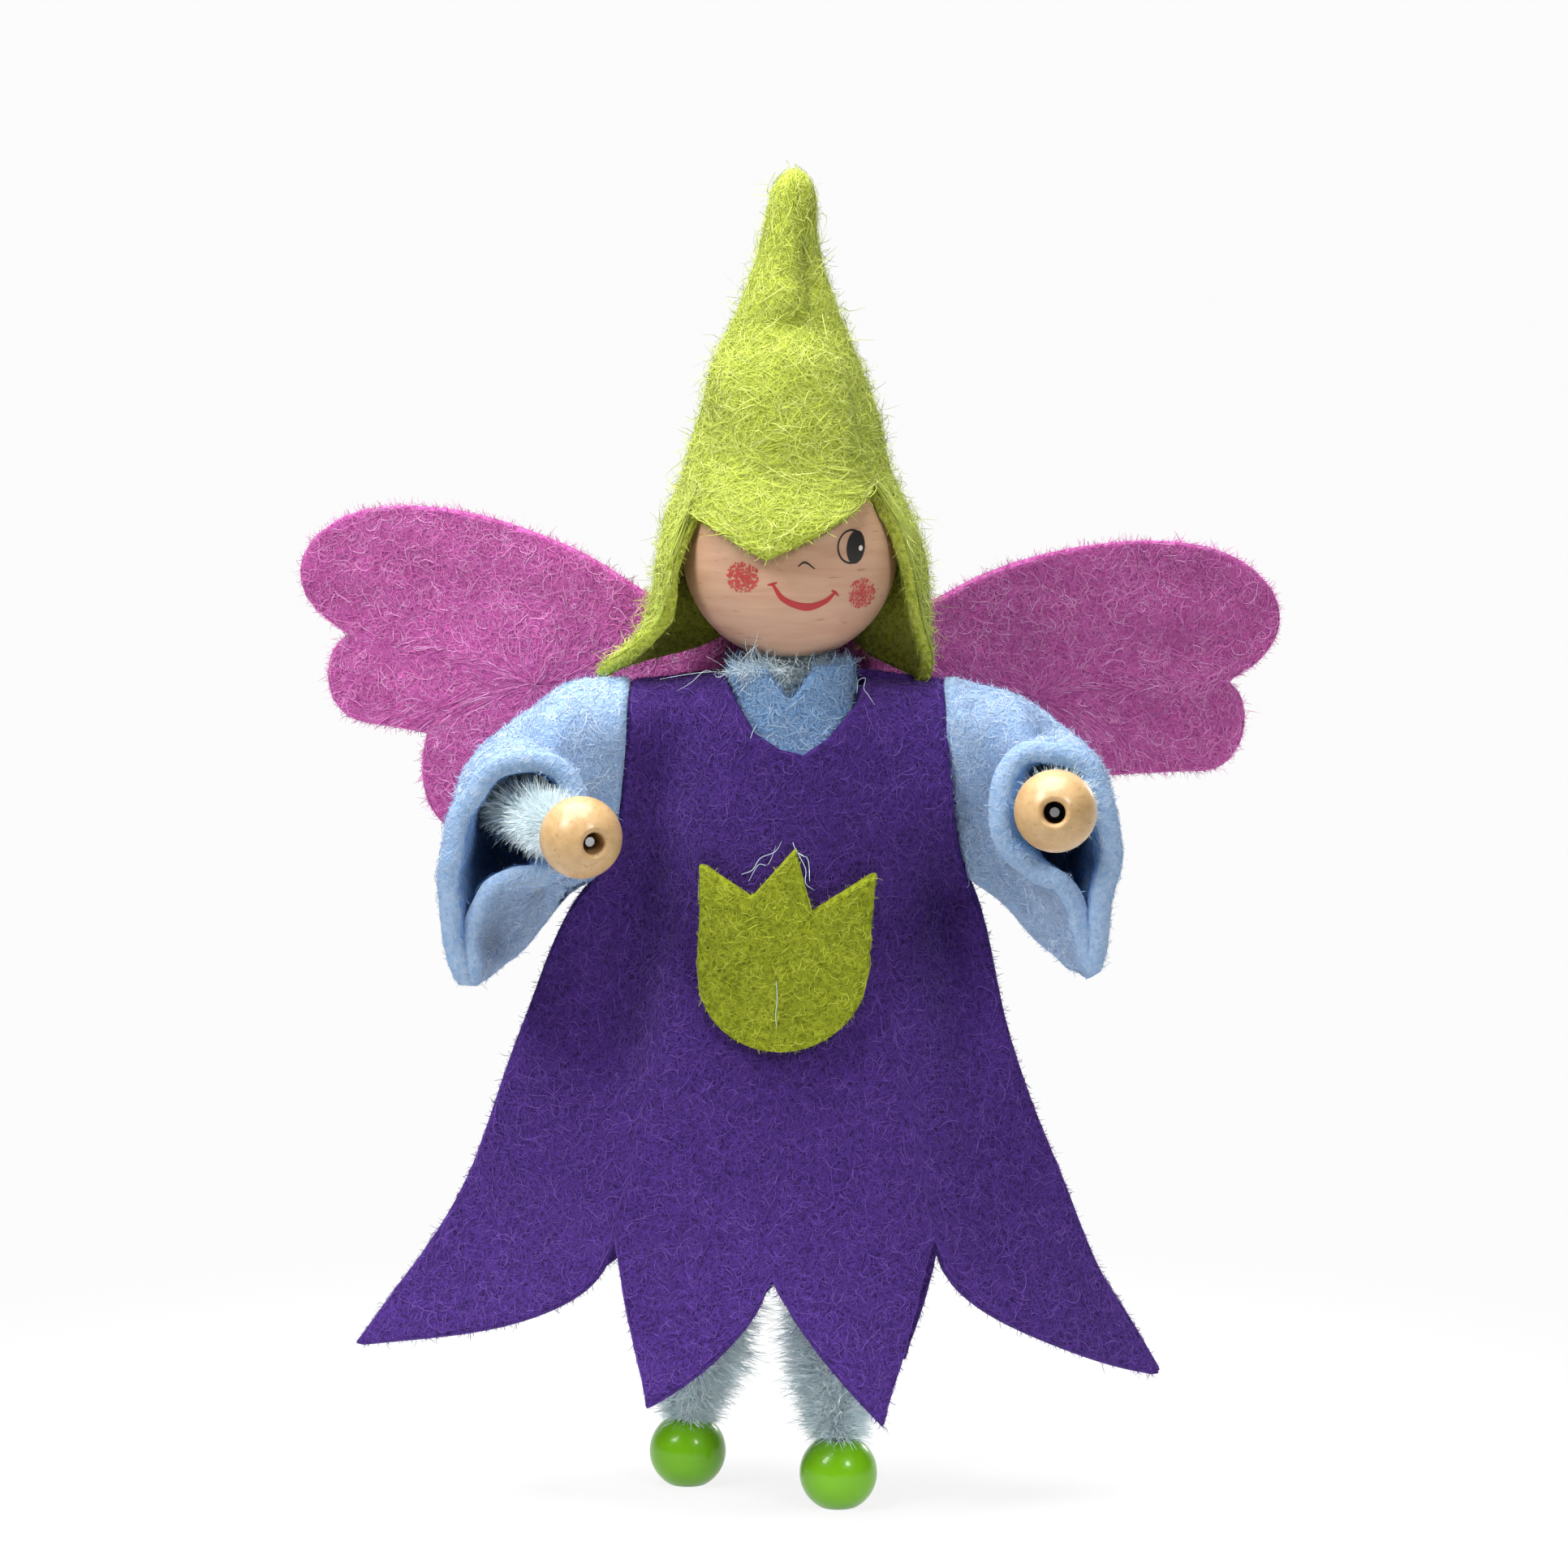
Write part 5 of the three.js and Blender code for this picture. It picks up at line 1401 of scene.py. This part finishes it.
# %% Face
MOUTH_WIDTHS = [(0, 0.22), (0.15, 0.45), (0.5, 0.8), (0.85, 0.45), (1, 0.22)]
CORNER_WIDTHS = [(0, 0.12), (0.5, 0.3), (1, 0.12)]
NOSE_WIDTHS = [(0, 0.12), (0.5, 0.22), (1, 0.12)]
STROKES = {
    "mouth": ([(-2.56, -2.96), (-1.2, -4.35), (1.14, -4.84), (2.9, -4.1), (3.88, -3.02)],
              MOUTH_WIDTHS, RED_INK),
    "mouth_right_corner": ([(-3.05, -3.1), (-2.6, -2.95), (-2.15, -2.7)], CORNER_WIDTHS, RED_INK),
    "mouth_left_corner": ([(3.45, -2.85), (3.9, -3.02), (4.3, -3.35)], CORNER_WIDTHS, RED_INK),
    "nose": ([(-0.35, -0.84), (0.32, -0.34), (1.39, -0.87)], NOSE_WIDTHS, BLACK_INK),
}
for name, (points, widths, ink) in STROKES.items():
    stroke(name, points, widths, ink)
EYES = {"left": (4.9, 1.75), "right": (-5.0, 1.85)}
EYE_HALF = (1.5, 1.75)
EYE_RIM = 0.88
PUPIL_SIDE = 0.5
PUPIL_HALF = (0.99, 1.68)
GLINT_SIDE = 1.02
GLINT_DOWN = 0.05
GLINT_HALF = (0.22, 0.27)
for side, (x, y) in EYES.items():
    blob(f"{side}_eye_rim", (x, y), EYE_HALF, EYE_RIM, BLACK_INK)
    blob(f"{side}_pupil", (x + PUPIL_SIDE, y), PUPIL_HALF, 0, BLACK_INK)
    blob(f"{side}_glint", (x + GLINT_SIDE, y - GLINT_DOWN), GLINT_HALF, 0, PALE_INK, 2 * PRINT_LIFT)
CHEEKS = {"right": (-5.53, -2.67), "left": (6.81, -2.86)}
CHEEK_R = 1.55
CHEEK_DOTS = 380
DOT_SIDES = 6
DOT_SIZES = (0.05, 0.12)
for side, centre in CHEEKS.items():
    away = CHEEK_R * rng.random(CHEEK_DOTS) ** 0.7
    angle = rng.uniform(0, 2 * np.pi, CHEEK_DOTS)
    dots = np.array(centre) + np.stack([away * np.cos(angle), away * np.sin(angle)], -1)
    a = round_angles(DOT_SIDES)
    edge = np.stack([np.cos(a), np.sin(a)], -1)
    size = rng.uniform(*DOT_SIZES, CHEEK_DOTS)
    points = on_ball(dots[:, None] + size[:, None, None] * edge[None]).reshape(-1, 3)
    corner = np.arange(CHEEK_DOTS)[:, None] * DOT_SIDES
    quads = np.concatenate([corner + [0, 1, 2, 3], corner + [0, 3, 4, 5]])
    place(mesh_object(f"{side}_cheek", points, quads, [PINK_INK]), "head", "head_wood")
print("face parts", len(STROKES) + 3 * len(EYES) + len(CHEEKS))

# %% [markdown]
# ## Lint
# Felt picks up stray pale fibres. A few lie round the tulip's rim, by the hands and at the neck. Each is
# one long strip drawn through points across and up, and laid on the face of the sheet that holds it.
# %% Lint
PATCH = ["tulip_patch", "dress_front"]
LINT = [
    ("torso", PATCH, [(-4.3, 65.9), (-3.2, 66.4), (-2.4, 67.6), (-0.9, 68.3), (-0.2, 69.4)]),
    ("torso", PATCH, [(-3.6, 65.2), (-2.6, 66.9), (-1.6, 67), (-0.8, 68.9)]),
    ("torso", PATCH, [(0.9, 69.2), (1.6, 67.9), (2.2, 66.6), (2.2, 65.2), (3.2, 64.4)]),
    ("torso", PATCH, [(1.3, 68.4), (2.4, 67.5), (2.6, 65.4)]),
    ("torso", PATCH, [(-0.8, 55.3), (-0.7, 53.4), (-0.85, 51.8), (-0.75, 50.4)]),
    ("torso", ["dress_front"], [(7.4, 84.2), (7.6, 85.3), (8.3, 85.5), (8.1, 84.6), (8.6, 83.9), (9.2, 83)]),
    ("torso", ["dress_front"], [(-3.4, 79.8), (-3, 80.8), (-2.4, 81.4), (-2.3, 82.2)]),
    ("right_arm", ["right_sleeve"], [(-20.8, 75), (-19.6, 75.6), (-18.4, 75.7), (-17.4, 76.8)]),
    ("right_arm", ["right_sleeve"], [(-25.6, 65.4), (-24.6, 66), (-24, 66.9), (-22.4, 66.8)]),
    ("left_arm", ["left_sleeve"], [(27, 69.4), (28.4, 69), (29.8, 69.5), (31, 69.2)]),
]
LINT_MM = 0.07
LINT_LIFT = 0.2
LINT_NEAR_MM2 = 0.8
for number, (body, sheet_names, points) in enumerate(LINT, 1):
    face = np.concatenate([LAID[name].face(1).reshape(-1, 3) for name in sheet_names])
    x, z = line_through(points, 25).T
    off = (face[None, :, 0] - x[:, None]) ** 2 + (face[None, :, 2] - z[:, None]) ** 2
    y = np.where(off < LINT_NEAR_MM2, face[None, :, 1], 0).min(1) - LINT_LIFT
    path = np.stack([x, y, z, 0 * x, 0 * x - 1, 0 * x], -1)[None]
    strand = strips(f"lint_{number}", path, PILE[:1], LINT_MM, (1,))
    place(strand, body, "pale_pile")
print("lint", len(LINT))

# %% [markdown]
# ## Wires
# The wires stay as the model has them: drawn steel, bright where it was cut. Only their ends show, in the
# bores. They could be drawn again as twisted pairs, but so little shows that a new finish is enough.
# %% Wire
# Drawing leaves fine marks that break up the shine. They are drawn coarser than real ones, so they show.
STEEL_MM = 0.4
drawn_steel, steel_tree = new_material("drawn steel wire")
steel_spot = add_node(steel_tree, "ShaderNodeTexCoord").outputs["Object"]
steel_marks = add_node(steel_tree, "ShaderNodeTexNoise", {
    "Vector": steel_spot, "Scale": 1 / (STEEL_MM * MM), "Detail": 3.0})
steel_rough = add_node(steel_tree, "ShaderNodeMapRange", {
    "Value": steel_marks.outputs["Fac"], "To Min": 0.22, "To Max": 0.45}).outputs[0]
finished(drawn_steel, add_node(steel_tree, "ShaderNodeBsdfPrincipled", {
    "Base Color": linear("#b9bcbf"), "Metallic": 1.0, "Roughness": steel_rough}))
wires = [thing for thing in bpy.data.objects if thing.type == "MESH" and thing.name.endswith("_wire")]
for wire in wires:
    wire.data.materials.clear()
    wire.data.materials.append(drawn_steel)
print("wires", len(wires))

# %% Sizes of the model and of the dressed doll
size = {"cad": [list(corner) for corner in cad_box], "visual": [list(corner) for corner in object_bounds()]}
